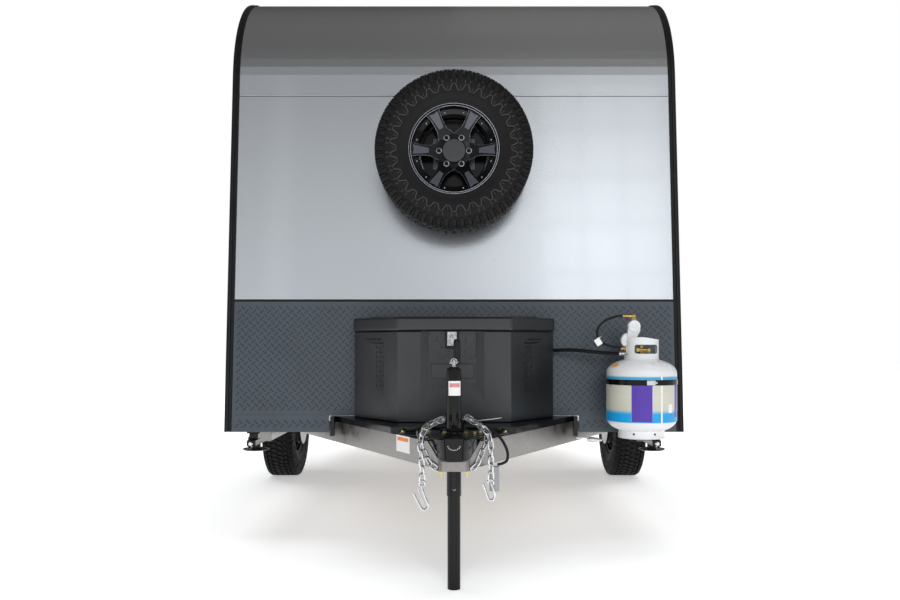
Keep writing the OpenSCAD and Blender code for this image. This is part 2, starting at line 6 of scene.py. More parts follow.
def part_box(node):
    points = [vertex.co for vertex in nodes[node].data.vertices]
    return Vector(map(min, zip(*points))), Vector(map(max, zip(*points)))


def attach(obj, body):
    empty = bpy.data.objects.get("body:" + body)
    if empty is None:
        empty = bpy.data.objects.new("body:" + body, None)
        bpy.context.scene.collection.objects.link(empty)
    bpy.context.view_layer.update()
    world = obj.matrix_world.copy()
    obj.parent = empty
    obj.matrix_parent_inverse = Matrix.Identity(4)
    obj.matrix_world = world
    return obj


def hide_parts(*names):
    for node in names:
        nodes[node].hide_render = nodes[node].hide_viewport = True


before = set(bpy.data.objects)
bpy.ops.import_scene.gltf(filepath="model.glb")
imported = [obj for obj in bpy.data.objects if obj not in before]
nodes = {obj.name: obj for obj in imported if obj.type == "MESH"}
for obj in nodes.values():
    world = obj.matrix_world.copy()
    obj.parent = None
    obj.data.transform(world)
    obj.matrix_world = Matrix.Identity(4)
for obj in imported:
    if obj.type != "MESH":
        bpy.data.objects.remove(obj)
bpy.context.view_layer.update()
scene = bpy.context.scene

# ---------------------------------------------------------------- sizes, in metres
WALL_Y = -1.39  # foot of the front wall's outer face
LEAN = math.radians(5.1)  # the front wall leans back
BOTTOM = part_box("front_wall")[0].z
PLATE_FOOT = 0.53
SIDE_X = 1.08  # outer face of the side walls
PLATE_X = 1.083  # outer face of the tread plate on the sides
REAR_Y = 2.27  # outer face of the rear wall
REAR_PLATE_Y = 2.273
ROOF_Z = 2.79
NOSE_R, TAIL_R = 0.575, 0.34
TYRE_R = 0.3635
AXLE_Y, WHEEL_X = 0.68, 1.205
SPARE_Z = 1.835
DRAWBAR_X = 0.546  # drawbar's outer faces at the front wall
FRAME_ANGLE = math.radians(30)  # each drawbar tube off the middle line
TIP, END = -2.32, -2.188  # coupler's tip and the back of its shoe
JX, JY = 0.0, -2.1  # tongue jack's centre
BX, BY, BZ = 0.842, -1.58, 0.527  # middle of the gas bottle's foot
JACK, BOTTLE, CENTRE = (JX, JY, 0), (BX, BY, BZ), (0, 0, 0)
TREAD_PITCH = 0.0357
BOX_SEAM_Z = 1.002
BOX_PATTERN = 0.0305
WELD_GAP = 1e-5  # points nearer than this are one
HEAVY_MESH = 6000


def wall_y(z, proud=0.0):
    """Outer face of the front wall at a height."""
    return WALL_Y + (z - BOTTOM) * math.tan(LEAN) - proud / math.cos(LEAN)


# ---------------------------------------------------------------- modelling helpers
def clear():
    """Object mode, with nothing selected."""
    if bpy.context.object and bpy.context.object.mode != "OBJECT":
        bpy.ops.object.mode_set(mode="OBJECT")
    bpy.ops.object.select_all(action="DESELECT")


def pick(*objs):
    """Selects pieces, the first one active."""
    clear()
    for o in objs:
        o.select_set(True)
    bpy.context.view_layer.objects.active = objs[0]


def settle(o):
    """The object's place goes into its mesh."""
    pick(o)
    bpy.ops.object.transform_apply(location=True, rotation=True, scale=True)
    return o


def bevel(o, width, segments=2):
    """Breaks every edge sharper than 30 degrees."""
    pick(o)
    m = o.modifiers.new("edge", "BEVEL")
    m.width, m.segments, m.limit_method, m.angle_limit = width, segments, "ANGLE", math.radians(30)
    m.harden_normals = False
    bpy.ops.object.modifier_apply(modifier=m.name)
    return o


def smooth(o, angle=35):
    """Rounds the shading of edges flatter than the angle."""
    pick(o)
    bpy.ops.object.shade_smooth_by_angle(angle=math.radians(angle))
    return o


def block(name, lo, hi, round_by=0.0, segments=2):
    """A rectangular bar or plate between two corners, with broken edges."""
    clear()
    lo, hi = Vector(lo), Vector(hi)
    bpy.ops.mesh.primitive_cube_add(size=1, location=(lo + hi) / 2)
    o = bpy.context.object
    o.name = name
    o.scale = hi - lo
    settle(o)
    if round_by:
        bevel(o, round_by, segments)
        smooth(o)
    return o


def aim(axis):
    """Turn that lays the Z axis along a direction."""
    return Vector(axis).to_track_quat("Z", "Y").to_matrix().to_4x4()


def lathe(name, profile, origin, axis=(0, 0, 1), steps=48, angle=35):
    """Turned piece: a ring drawn up through (radius, height) pairs, closed where a radius is nought."""
    clear()
    r0, h0 = profile[0]
    tiny = WELD_GAP
    bpy.ops.mesh.primitive_circle_add(vertices=steps, radius=max(r0, tiny), location=(0, 0, h0))
    o = bpy.context.object
    o.name = name
    settle(o)
    bpy.ops.object.mode_set(mode="EDIT")
    bpy.ops.mesh.select_all(action="SELECT")
    r, h = max(r0, tiny), h0
    for r1, h1 in profile[1:]:
        r1 = max(r1, tiny)
        bpy.ops.mesh.extrude_region_move(TRANSFORM_OT_translate={"value": (0, 0, h1 - h)})
        bpy.ops.transform.resize(value=(r1 / r, r1 / r, 1), center_override=(0, 0, h1))
        r, h = r1, h1
    bpy.ops.mesh.select_all(action="SELECT")
    bpy.ops.mesh.remove_doubles(threshold=2 * WELD_GAP)
    bpy.ops.mesh.select_all(action="SELECT")
    bpy.ops.mesh.normals_make_consistent(inside=False)
    bpy.ops.object.mode_set(mode="OBJECT")
    o.matrix_world = Matrix.Translation(Vector(origin)) @ aim(axis)
    settle(o)
    return smooth(o, angle)


def rod(name, a, b, radius, steps=20, edge=0.0):
    """Round bar from a to b."""
    a, b = Vector(a), Vector(b)
    length = (b - a).length
    e = edge or radius * 0.12
    return lathe(name, [(0, 0), (radius - e, 0), (radius, e), (radius, length - e), (radius - e, length),
                        (0, length)],
                 a, b - a, steps)


def slab(name, outline, start, along, round_by=0.0, segments=2):
    """A flat outline of points in space pushed through by a vector."""
    clear()
    bpy.ops.mesh.primitive_circle_add(vertices=len(outline), radius=1, fill_type="NGON")
    o = bpy.context.object
    o.name = name
    for v, p in zip(o.data.vertices, outline):
        v.co = Vector(p) + Vector(start)
    bpy.ops.object.mode_set(mode="EDIT")
    bpy.ops.mesh.select_all(action="SELECT")
    bpy.ops.mesh.extrude_region_move(TRANSFORM_OT_translate={"value": Vector(along)})
    bpy.ops.mesh.select_all(action="SELECT")
    bpy.ops.mesh.normals_make_consistent(inside=False)
    bpy.ops.object.mode_set(mode="OBJECT")
    if round_by:
        bevel(o, round_by, segments)
        smooth(o)
    return o


def join(name, parts):
    """Several meshes made one piece."""
    pick(*parts)
    if len(parts) > 1:
        bpy.ops.object.join()
    o = bpy.context.object
    o.name = name
    return o


def copy_at(o, matrix):
    """A copy with its own mesh, set down by a matrix."""
    c = o.copy()
    c.data = o.data.copy()
    c.data.transform(matrix)
    if matrix.determinant() < 0:
        c.data.flip_normals()
    scene.collection.objects.link(c)
    return c


def mirrored(o):
    """A copy on the trailer's other side."""
    return copy_at(o, Matrix.Scale(-1, 4, (1, 0, 0)))


def street_face(x):
    """Sets a piece that looks to -Y on the street side, at x."""
    return Matrix(((0, -1, 0, x), (1, 0, 0, 0), (0, 0, 1, 0), (0, 0, 0, 1)))


def kerb_face(x):
    """Sets a piece that looks to -Y on the kerb side, at x."""
    return Matrix(((0, 1, 0, x), (-1, 0, 0, 0), (0, 0, 1, 0), (0, 0, 0, 1)))


def rear_face(y):
    """Sets a piece that looks to -Y on the back, at y."""
    return Matrix(((-1, 0, 0, 0), (0, -1, 0, y), (0, 0, 1, 0), (0, 0, 0, 1)))


def pane_xz(x0, x1, z0, z1, y):
    """Corners of an upright rectangle."""
    return [(x0, y, z0), (x1, y, z0), (x1, y, z1), (x0, y, z1)]


def pane_xy(x0, x1, y0, y1, z):
    """Corners of a level rectangle."""
    return [(x0, y0, z), (x1, y0, z), (x1, y1, z), (x0, y1, z)]


def turn_all(pieces, matrix):
    """Moves the meshes of several pieces by one matrix."""
    for o in pieces:
        o.data.transform(matrix)
    return pieces


def arc_xz(x, y, z, r, start, stop, step):
    """Points of an upright circle that faces -Y, by whole degrees."""
    turns = [math.radians(a) for a in range(start, stop, step)]
    return [(x + r * math.cos(a), y, z + r * math.sin(a)) for a in turns]


def route(points, n):
    """Smooth line through points, n steps a span."""
    p = [Vector(v) for v in points]
    out = []
    for i in range(len(p) - 1):
        a, b, c, d = p[max(i - 1, 0)], p[i], p[i + 1], p[min(i + 2, len(p) - 1)]
        for k in range(n + 1 if i == len(p) - 2 else n):
            t = k / n
            out.append(0.5 * (2 * b + (c - a) * t + (2 * a - 5 * b + 4 * c - d) * t * t
                              + (3 * b - a - 3 * c + d) * t ** 3))
    return out


def tube(name, line, radius, material):
    """Round cord as a curve with one open spline."""
    curve = bpy.data.curves.new(name, "CURVE")
    curve.dimensions = "3D"
    curve.bevel_depth = radius
    curve.bevel_resolution = 4
    curve.resolution_u = 2
    curve.use_fill_caps = True
    s = curve.splines.new("POLY")
    s.points.add(len(line) - 1)
    for q, v in zip(s.points, line):
        q.co = (*v, 1)
    s.use_smooth = True
    o = bpy.data.objects.new(name, curve)
    scene.collection.objects.link(o)
    o.data.materials.append(material)
    return o


def wear(o, material):
    """Gives a piece one finish."""
    o.data.materials.clear()
    o.data.materials.append(material)
    return o


def place(o, body, material, replaces=(), slot=None):
    """Gives a finished piece its shading, finish and body, and hides the CAD pieces it replaces; the slot
    argument is not used.
    """
    rounded_faces = [p.use_smooth for p in o.data.polygons]
    if all(rounded_faces) or len(rounded_faces) < HEAVY_MESH and any(rounded_faces):
        pick(o)
        m = o.modifiers.new("flat_faces", "WEIGHTED_NORMAL")
        m.keep_sharp = True
        bpy.ops.object.modifier_apply(modifier=m.name)
    wear(o, material)
    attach(o, body)
    if replaces:
        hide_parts(*replaces)
    return o


def fix(o, material, replaces=(), slot=None):
    """Places a piece that is fixed to the trailer."""
    return place(o, "trailer", material, replaces, slot)


# ---------------------------------------------------------------- material helpers
def material(name, colour, roughness, metallic=0.0, coat=0.0, coat_rough=0.1, specular=0.5,
             mottled=None, grained=None):
    """One finish, with its slow change of tone and its fine bump."""
    m = bpy.data.materials.new(name)
    m.use_nodes = True
    p = m.node_tree.nodes["Principled BSDF"]
    p.inputs["Base Color"].default_value = (*colour, 1)
    p.inputs["Roughness"].default_value = roughness
    p.inputs["Metallic"].default_value = metallic
    p.inputs["Coat Weight"].default_value = coat
    p.inputs["Coat Roughness"].default_value = coat_rough
    p.inputs["Specular IOR Level"].default_value = specular
    if mottled:
        mottle(m, *mottled)
    if grained:
        grain(m, *grained)
    return m


def add(m, kind, settings=None, **inputs):
    """A shader node. Its inputs are values or other nodes' outputs, and i0 is the first input."""
    n = m.node_tree.nodes.new("ShaderNode" + kind)
    for k, v in (settings or {}).items():
        setattr(n, k, v)
    for k, v in inputs.items():
        k = k.replace("_", " ")
        target = n.inputs[int(k[1:])] if k[0] == "i" and k[1:].isdigit() else n.inputs[k]
        if hasattr(v, "is_linked"):
            m.node_tree.links.new(v, target)
        else:
            target.default_value = v
    return n


def shader(m):
    """The finish's own surface node."""
    return m.node_tree.nodes["Principled BSDF"]


def wire(m, a, b):
    """Joins an output to an input."""
    m.node_tree.links.new(a, b)


def maths(m, op, a, b):
    """One sum on two values or outputs."""
    n = m.node_tree.nodes.new("ShaderNodeMath")
    n.operation = op
    for i, v in enumerate((a, b)):
        if hasattr(v, "is_linked"):
            m.node_tree.links.new(v, n.inputs[i])
        else:
            n.inputs[i].default_value = v
    return n.outputs[0]


def coords(m):
    """The piece's own coordinates, in metres."""
    return add(m, "TexCoord").outputs["Object"]


def mottle(m, amount, scale, rough_by):
    """Slow change of tone and gloss over a surface, as handling and casting leave."""
    p = shader(m)
    n = add(m, "TexNoise", Vector=coords(m), Scale=scale, Detail=5.0, Roughness=0.6)
    base = tuple(p.inputs["Base Color"].default_value)
    ramp = add(m, "ValToRGB", Fac=n.outputs["Fac"])
    ramp.color_ramp.elements[0].position = 0.3
    ramp.color_ramp.elements[1].position = 0.7
    ramp.color_ramp.elements[0].color = (*[c * (1 - amount) for c in base[:3]], 1)
    ramp.color_ramp.elements[1].color = (*[min(1, c * (1 + amount)) for c in base[:3]], 1)
    wire(m, ramp.outputs["Color"], p.inputs["Base Color"])
    r = p.inputs["Roughness"].default_value
    span = add(m, "MapRange", Value=n.outputs["Fac"], From_Min=0.3, From_Max=0.7,
               To_Min=max(0.02, r - rough_by), To_Max=min(1, r + rough_by))
    wire(m, span.outputs["Result"], p.inputs["Roughness"])
    return m


def grain(m, scale, strength, distance):
    """Fine bump."""
    noise = add(m, "TexNoise", Vector=coords(m), Scale=scale, Detail=2.0)
    bump = add(m, "Bump", Height=noise.outputs["Fac"], Strength=strength, Distance=distance)
    wire(m, bump.outputs["Normal"], shader(m).inputs["Normal"])
    return m


# ---------------------------------------------------------------- materials
silver = material("silver_skin_paint", (0.64, 0.665, 0.69), 0.27, 0.94, 0.9, 0.05,
                  mottled=(0.006, 1.2, 0.004), grained=(900.0, 0.05, 0.0003))
charcoal = material("charcoal_tread_paint", (0.064, 0.077, 0.092), 0.4, 0.25, mottled=(0.08, 5.0, 0.06))
# The raised tread bars get a darker colour than the charcoal plate: painted shade for the shaded sides of
# the bars.
bar_painted_shade = material("tread_bar_painted_shade", (0.028, 0.034, 0.042), 0.4, specular=0.35, mottled=(0.1, 5.0, 0.05))
black_trim = material("black_trim_paint", (0.008, 0.008, 0.009), 0.34, specular=0.28,
                      mottled=(0.2, 8.0, 0.08), grained=(600.0, 0.05, 0.0003))
black_steel = material("black_powder_coat", (0.0035, 0.0035, 0.004), 0.15, specular=0.26,
                       mottled=(0.2, 12.0, 0.05), grained=(420.0, 0.1, 0.0004))
aluminium = material("mill_aluminium", (0.27, 0.258, 0.246), 0.33, 0.97, mottled=(0.14, 14.0, 0.08))
rubber = material("tyre_rubber", (0.0085, 0.0083, 0.0085), 0.58, specular=0.2, mottled=(0.2, 20.0, 0.1),
                  grained=(700.0, 0.25, 0.0005))
hose_rubber = material("hose_rubber", (0.006, 0.006, 0.007), 0.36, specular=0.32, mottled=(0.2, 60.0, 0.08),
                       grained=(900.0, 0.1, 0.0003))
poly = material("moulded_poly", (0.0062, 0.007, 0.0085), 0.36, specular=0.85, mottled=(0.12, 9.0, 0.06),
                grained=(520.0, 0.35, 0.0006))
zinc = material("zinc_plate", (0.7, 0.71, 0.72), 0.24, 1.0, mottled=(0.12, 60.0, 0.1),
                grained=(300.0, 0.08, 0.0003))
white_paint = material("white_enamel", (0.7, 0.71, 0.72), 0.25, 0.0, 0.4, mottled=(0.03, 8.0, 0.05),
                       grained=(120.0, 0.03, 0.0004))
brass = material("brass", (0.62, 0.42, 0.16), 0.28, 1.0, mottled=(0.12, 80.0, 0.08),
                 grained=(500.0, 0.06, 0.0003))
glass_dark = material("tinted_glass", (0.012, 0.014, 0.016), 0.06, 0.0, 0.6, mottled=(0.1, 3.0, 0.02))
wood_floor = material("coated_ply", (0.3, 0.22, 0.14), 0.5, mottled=(0.2, 9.0, 0.1),
                      grained=(60.0, 0.1, 0.0006))
laminate = material("light_laminate", (0.55, 0.5, 0.44), 0.42, mottled=(0.1, 7.0, 0.06),
                    grained=(300.0, 0.05, 0.0003))
ticking = material("mattress_ticking", (0.5, 0.51, 0.53), 0.85, mottled=(0.08, 20.0, 0.05),
                   grained=(900.0, 0.5, 0.0008))
red_lens = material("red_lens", (0.42, 0.012, 0.012), 0.12, 0.0, 0.6, mottled=(0.1, 20.0, 0.04),
                    grained=(180.0, 0.2, 0.0008))
white_plastic = material("white_plastic", (0.78, 0.78, 0.76), 0.35, mottled=(0.03, 9.0, 0.06),
                         grained=(400.0, 0.08, 0.0004))
grey_plastic = material("grey_plastic", (0.3, 0.31, 0.32), 0.42, mottled=(0.1, 40.0, 0.06),
                        grained=(500.0, 0.15, 0.0004))
roof_white = material("roof_coat", (0.62, 0.62, 0.62), 0.5, 0.2, mottled=(0.05, 5.0, 0.06),
                      grained=(200.0, 0.1, 0.0005))

# ---------------------------------------------------------------- camera
cam_data = bpy.data.cameras.new("camera")
cam = bpy.data.objects.new("camera", cam_data)
scene.collection.objects.link(cam)
cam.location = (0.0, WALL_Y - 3.92, 0.95)
cam.rotation_euler = (math.radians(90), 0, 0)
cam_data.sensor_width = 36
cam_data.lens = 33.2
cam_data.shift_x = -0.0044
cam_data.shift_y = 0.0478
scene.camera = cam

# ---------------------------------------------------------------- light and floor
world = bpy.data.worlds.new("studio")
scene.world = world
world.use_nodes = True
world.node_tree.nodes.clear()
lit = add(world, "Background")
seen = add(world, "Background", Color=(1, 1, 1, 1), Strength=1.0)
split = add(world, "SeparateXYZ", Vector=add(world, "TexCoord").outputs["Generated"])
to_side, to_front, to_top = (split.outputs[axis] for axis in "XYZ")

sky = add(world, "ValToRGB", Fac=to_top)
sky_tones = sky.color_ramp.elements
sky_tones[0].position = 0.0
sky_tones[0].color = (0.22, 0.23, 0.24, 1)
sky_tones[1].position = 1.0
sky_tones[1].color = (0.4, 0.37, 0.35, 1)
for at, colour in ((0.035, (0.34, 0.35, 0.37, 1)), (0.1, (0.92, 0.95, 1.0, 1)), (0.3, (0.94, 0.97, 1.0, 1)),
                   (0.42, (0.6, 0.62, 0.64, 1)), (0.6, (0.22, 0.205, 0.195, 1))):
    sky_tones.new(at).color = colour
wire(world, sky.outputs["Color"], lit.inputs["Color"])


def between(value, low, high):
    """1 from low to high, and 0 outside."""
    return maths(world, "MULTIPLY", maths(world, "GREATER_THAN", value, low),
                 maths(world, "LESS_THAN", value, high))


def bars_of(value, start, step):
    """Glazing bars: 0 on a thin bar at every step, and 1 on the panes."""
    steps = maths(world, "DIVIDE", maths(world, "SUBTRACT", value, start), step)
    return maths(world, "GREATER_THAN", maths(world, "FRACT", steps, 0.0), 0.13)


# The room in front has a window, two lamp strips and a darker left half.
ahead = maths(world, "MAXIMUM", maths(world, "MULTIPLY", to_front, -1.0), 0.05)
across = maths(world, "DIVIDE", to_side, ahead)
above = maths(world, "DIVIDE", to_top, ahead)
panes = maths(world, "MULTIPLY", between(across, 0.105, 0.265), between(above, 0.2, 0.52))
glazing = maths(world, "MULTIPLY", bars_of(across, 0.105, 0.053), bars_of(above, 0.2, 0.064))
panes = maths(world, "MULTIPLY", panes, glazing)
strip = maths(world, "MULTIPLY", between(across, -0.235, -0.205), between(above, 0.1, 0.6))
low_strip = maths(world, "MULTIPLY", between(across, -0.3, -0.22), between(above, -0.3, 0.12))
extra = maths(world, "ADD", maths(world, "MULTIPLY", panes, 1.9), maths(world, "MULTIPLY", strip, 0.8))
extra = maths(world, "ADD", extra, maths(world, "MULTIPLY", low_strip, 2.4))
extra = maths(world, "MULTIPLY", extra, maths(world, "LESS_THAN", to_front, -0.3))
front = add(world, "MapRange", {"interpolation_type": "SMOOTHSTEP"}, Value=to_front,
            From_Min=-0.97, From_Max=-0.5, To_Min=1.02, To_Max=0.4)
lean_over = add(world, "MapRange", {"interpolation_type": "SMOOTHSTEP"}, Value=across,
                From_Min=-0.12, From_Max=0.15, To_Min=0.62, To_Max=1.0)
room = maths(world, "MULTIPLY", front.outputs["Result"], lean_over.outputs["Result"])
wire(world, maths(world, "ADD", room, extra), lit.inputs["Strength"])
mix = add(world, "MixShader", i0=add(world, "LightPath").outputs["Is Camera Ray"],
          i1=lit.outputs[0], i2=seen.outputs[0])
add(world, "OutputWorld", Surface=mix.outputs[0])
scene.view_settings.view_transform = "Standard"


def softbox(name, place_at, look_at, size, energy):
    """A wide soft lamp that doesn't show in reflections."""
    d = bpy.data.lights.new(name, "AREA")
    d.shape = "RECTANGLE"
    d.size, d.size_y = size
    d.energy = energy
    o = bpy.data.objects.new(name, d)
    scene.collection.objects.link(o)
    o.location = place_at
    o.visible_glossy = False
    o.rotation_euler = (Vector(look_at) - Vector(place_at)).to_track_quat("-Z", "Y").to_euler()


softbox("ahead", (0.4, -9.0, 3.2), (0, -1.4, 1.0), (4, 2.5), 250)
softbox("street_side", (6.5, 3.0, 4.5), (0.9, 0.4, 1.0), (4, 3), 100)
softbox("kerb_side", (-6.5, 3.0, 4.5), (-0.9, 0.4, 1.0), (4, 3), 100)
softbox("behind", (0, 7.5, 4.5), (0, 2.0, 1.0), (4, 3), 120)
softbox("overhead", (0, 0.5, 7.5), CENTRE, (9, 9), 470)

clear()
bpy.ops.mesh.primitive_plane_add(size=60, location=(0, 0, 0))
floor = bpy.context.object
floor.name = "floor"
floor_mat = material("pale_floor", (0.9, 0.915, 0.93), 0.9, specular=0.1)
far = add(floor_mat, "VectorMath", {"operation": "LENGTH"}, i0=coords(floor_mat))
fade = add(floor_mat, "MapRange", Value=far.outputs["Value"], From_Min=1.4, From_Max=9.0, To_Min=0.42,
           To_Max=0.87)
shader(floor_mat).inputs["Emission Color"].default_value = (1, 1, 1, 1)
wire(floor_mat, fade.outputs["Result"], shader(floor_mat).inputs["Emission Strength"])
floor.data.materials.append(floor_mat)

# ---------------------------------------------------------------- cords
feed_line = route([
    (BX - 0.086, BY + 0.01, BZ + 0.376), (BX - 0.135, BY + 0.04, BZ + 0.376),
    (BX - 0.209, BY + 0.08, BZ + 0.383),
    (BX - 0.286, BY + 0.118, BZ + 0.39), (BX - 0.342, BY + 0.148, BZ + 0.39),
    (BX - 0.387, BY + 0.176, BZ + 0.387),
    (BX - 0.424, BY + 0.2, BZ + 0.383), (BX - 0.448, BY + 0.212, BZ + 0.38)], 5)
pigtail_line = route([
    (BX - 0.048, BY, BZ + 0.545), (BX - 0.082, BY + 0.004, BZ + 0.546), (BX - 0.12, BY + 0.014, BZ + 0.54),
    (BX - 0.16, BY + 0.026, BZ + 0.522), (BX - 0.186, BY + 0.032, BZ + 0.494),
    (BX - 0.192, BY + 0.034, BZ + 0.462),
    (BX - 0.184, BY + 0.032, BZ + 0.436), (BX - 0.164, BY + 0.026, BZ + 0.42),
    (BX - 0.134, BY + 0.016, BZ + 0.408),
    (BX - 0.086, BY + 0.002, BZ + 0.4)], 5)
feed_hose = tube("feed_hose", feed_line, 0.0085, hose_rubber)
pigtail_hose = tube("pigtail_hose", pigtail_line, 0.0055, hose_rubber)
for hose, line, thick in ((feed_hose, feed_line, 0.017), (pigtail_hose, pigtail_line, 0.011)):
    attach(hose, "trailer")
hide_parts("gas_hoses")
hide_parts("gas_hoses")

cable_line = route([
    (0.034, JY + 0.046, 0.618), (0.046, JY + 0.04, 0.65), (0.07, JY + 0.02, 0.652),
    (0.096, JY + 0.004, 0.64),
    (0.132, JY - 0.004, 0.622), (0.164, JY - 0.01, 0.6), (0.19, JY - 0.014, 0.568),
    (0.206, JY - 0.018, 0.53),
    (0.204, JY - 0.022, 0.5), (0.186, JY - 0.026, 0.488), (0.166, JY - 0.028, 0.484)], 5)
plug_cord = tube("plug_cord", cable_line, 0.0055, hose_rubber)
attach(plug_cord, "trailer")
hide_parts("plug_cable")

# ---------------------------------------------------------------- finishes on the CAD pieces
FINISHES = {
    "front_wall": silver, "nose_panel": silver, "roof": roof_white, "rear_wall": silver,
    "side_wall_left": silver, "side_wall_right": silver, "cabin_floor": wood_floor,
    "edge_trims": black_trim,
    "tread_plates": charcoal, "fenders": black_steel, "side_windows": glass_dark, "drawbar": aluminium,
    "frame_rails": aluminium, "cross_members": aluminium, "coupler": black_steel,
    "tongue_tray": black_steel,
    "tool_box": poly, "jack_tube": black_steel, "jack_crank": zinc, "gas_bottle": white_paint,
    "bottle_valve": brass, "bottle_bracket": black_steel, "gas_hoses": hose_rubber,
    "plug_cable": hose_rubber,
    "cable_plug": grey_plastic, "safety_chains": zinc, "axle_beam": black_steel, "stabilizers": black_steel,
    "spare_carrier": black_steel, "spare_rim": black_steel, "spare_tyre": rubber, "tail_lights": red_lens,
    "rear_bumper": black_steel, "vent_base": white_plastic, "bunk": laminate, "mattress": ticking,
    "galley": laminate, "vent_lid": white_plastic, "box_lid": poly, "jack_leg": black_steel,
    "entry_door": silver, "door_glass": glass_dark, "rear_door": silver, "rim_left": black_steel,
    "tyre_left": rubber, "rim_right": black_steel, "tyre_right": rubber,
}
for name, finish in FINISHES.items():
    wear(nodes[name], finish)


# ---------------------------------------------------------------- wheels
def turned(o, n):
    """n copies of a piece round the wheel's axis, made one mesh."""
    spins = [Matrix.Rotation(math.radians(360 // n * k), 4, "Z") for k in range(1, n)]
    return join(o.name, [o] + [copy_at(o, spin) for spin in spins])


def polar(r, a, z):
    """Point at a radius and an angle in degrees."""
    return (r * math.cos(math.radians(a)), r * math.sin(math.radians(a)), z)


def dished(o):
    """Bends a spoke's outer part forward, as the face of the rim rises to its lip."""
    for v in o.data.vertices:
        v.co.z += max(0, v.co.x - 0.088) * 0.345
    return o


def tyre():
    """All-terrain tyre: the casing with its tread blocks, and the raised marks of both sidewalls."""
    half = [(0.199, 0.078), (0.204, 0.086), (0.21, 0.0905), (0.215, 0.0935), (0.219, 0.094),
            (0.223, 0.0932), (0.23, 0.0958), (0.24, 0.0985), (0.248, 0.1), (0.25, 0.101),
            (0.252, 0.1003), (0.26, 0.1018), (0.275, 0.1038), (0.292, 0.1045), (0.308, 0.103),
            (0.322, 0.1), (0.334, 0.0955), (0.344, 0.089), (0.35, 0.08), (0.3535, 0.065), (0.3545, 0.03)]
    inside = [(0.34, -0.05), (0.34, 0.05), (0.32, 0.085), (0.28, 0.093), (0.23, 0.086), (0.2, 0.064)]
    loop = half + [(r, -z) for r, z in reversed(half)]
    loop += [(0.2, -0.064), (0.23, -0.086), (0.28, -0.093), (0.32, -0.085)] + inside + [half[0]]
    carcass = lathe("carcass", loop, CENTRE, steps=90)
    low, high = 0.352, TYRE_R
    centre = [(-0.015, 0.0022), (0.003, 0.0022), (0.0085, 0.0095), (0.0155, 0.0125), (0.0155, 0.0375),
              (0.001, 0.0375), (-0.005, 0.03), (-0.015, 0.0265)]
    flank = [(-0.015, 0.044), (-0.002, 0.044), (0.004, 0.0495), (0.014, 0.0495), (0.014, 0.067),
             (0.002, 0.067), (-0.004, 0.061), (-0.015, 0.061)]
    blocks = []
    for shape, turn in ((centre, 0), (flank, 2.2)):
        b = slab("block", [(low, u, v) for u, v in shape], CENTRE, (high - low, 0, 0), 0.0012, 1)
        b.data.transform(Matrix.Rotation(math.radians(turn), 4, "Z"))
        blocks.append(b)
        blocks.append(copy_at(b, Matrix.Rotation(math.radians(3 + turn), 4,
                                                 "Z") @ Matrix.Rotation(math.pi, 4, "X")))
    for turn, reach, wide in ((0.2, 0.32, 0.0098), (3.35, 0.332, 0.0052)):
        lug = slab("lug", [(0.35, -wide, 0.073), (0.3632, -wide, 0.074), (0.3612, -wide, 0.088),
                           (0.355, -wide, 0.0975), (0.343, -wide, 0.1035), (reach, -wide, 0.106),
                           (reach - 0.004, -wide, 0.1), (0.34, -wide, 0.085)],
                   (0, 0, 0), (0, 2 * wide, 0), 0.0014, 1)
        other = copy_at(lug, Matrix.Scale(-1, 4, (0, 0, 1)))
        for b in (lug, other):
            b.data.transform(Matrix.Rotation(math.radians(turn), 4, "Z"))
            blocks.append(b)
    pitch = join("tread", blocks)
    tread_ring = turned(pitch, 60)
    up = [(0.2915, -6), (0.2915, -4.2), (0.264, -1.6), (0.264, 1.6), (0.2915, 4.2), (0.2915, 6)]
    down = [(0.2888, -6), (0.2888, -4.9), (0.2612, -2.3), (0.2612, 2.3), (0.2888, 4.9), (0.2888, 6)]
    wave = slab("wave", [polar(r, a, 0.101) for r, a in up + down[::-1]], CENTRE, (0, 0, 0.0066), 0.0005, 1)
    marks = [block("mark", (0.268, -0.0012, 0.101), (0.282, 0.0012, 0.1062), 0.0005, 1)]
    for at in (-2.1, 2.1):
        m = block("mark", (0.296, -0.0016, 0.101), (0.311, 0.0016, 0.1064), 0.0005, 1)
        m.data.transform(Matrix.Rotation(math.radians(at + 6), 4, "Z"))
        marks.append(m)
    ring = turned(join("wave", [wave] + marks), 30)
    back = copy_at(ring, Matrix.Scale(-1, 4, (0, 0, 1)))
    return join("tyre", [carcass, tread_ring]), join("tyre_ridges", [ring, back])


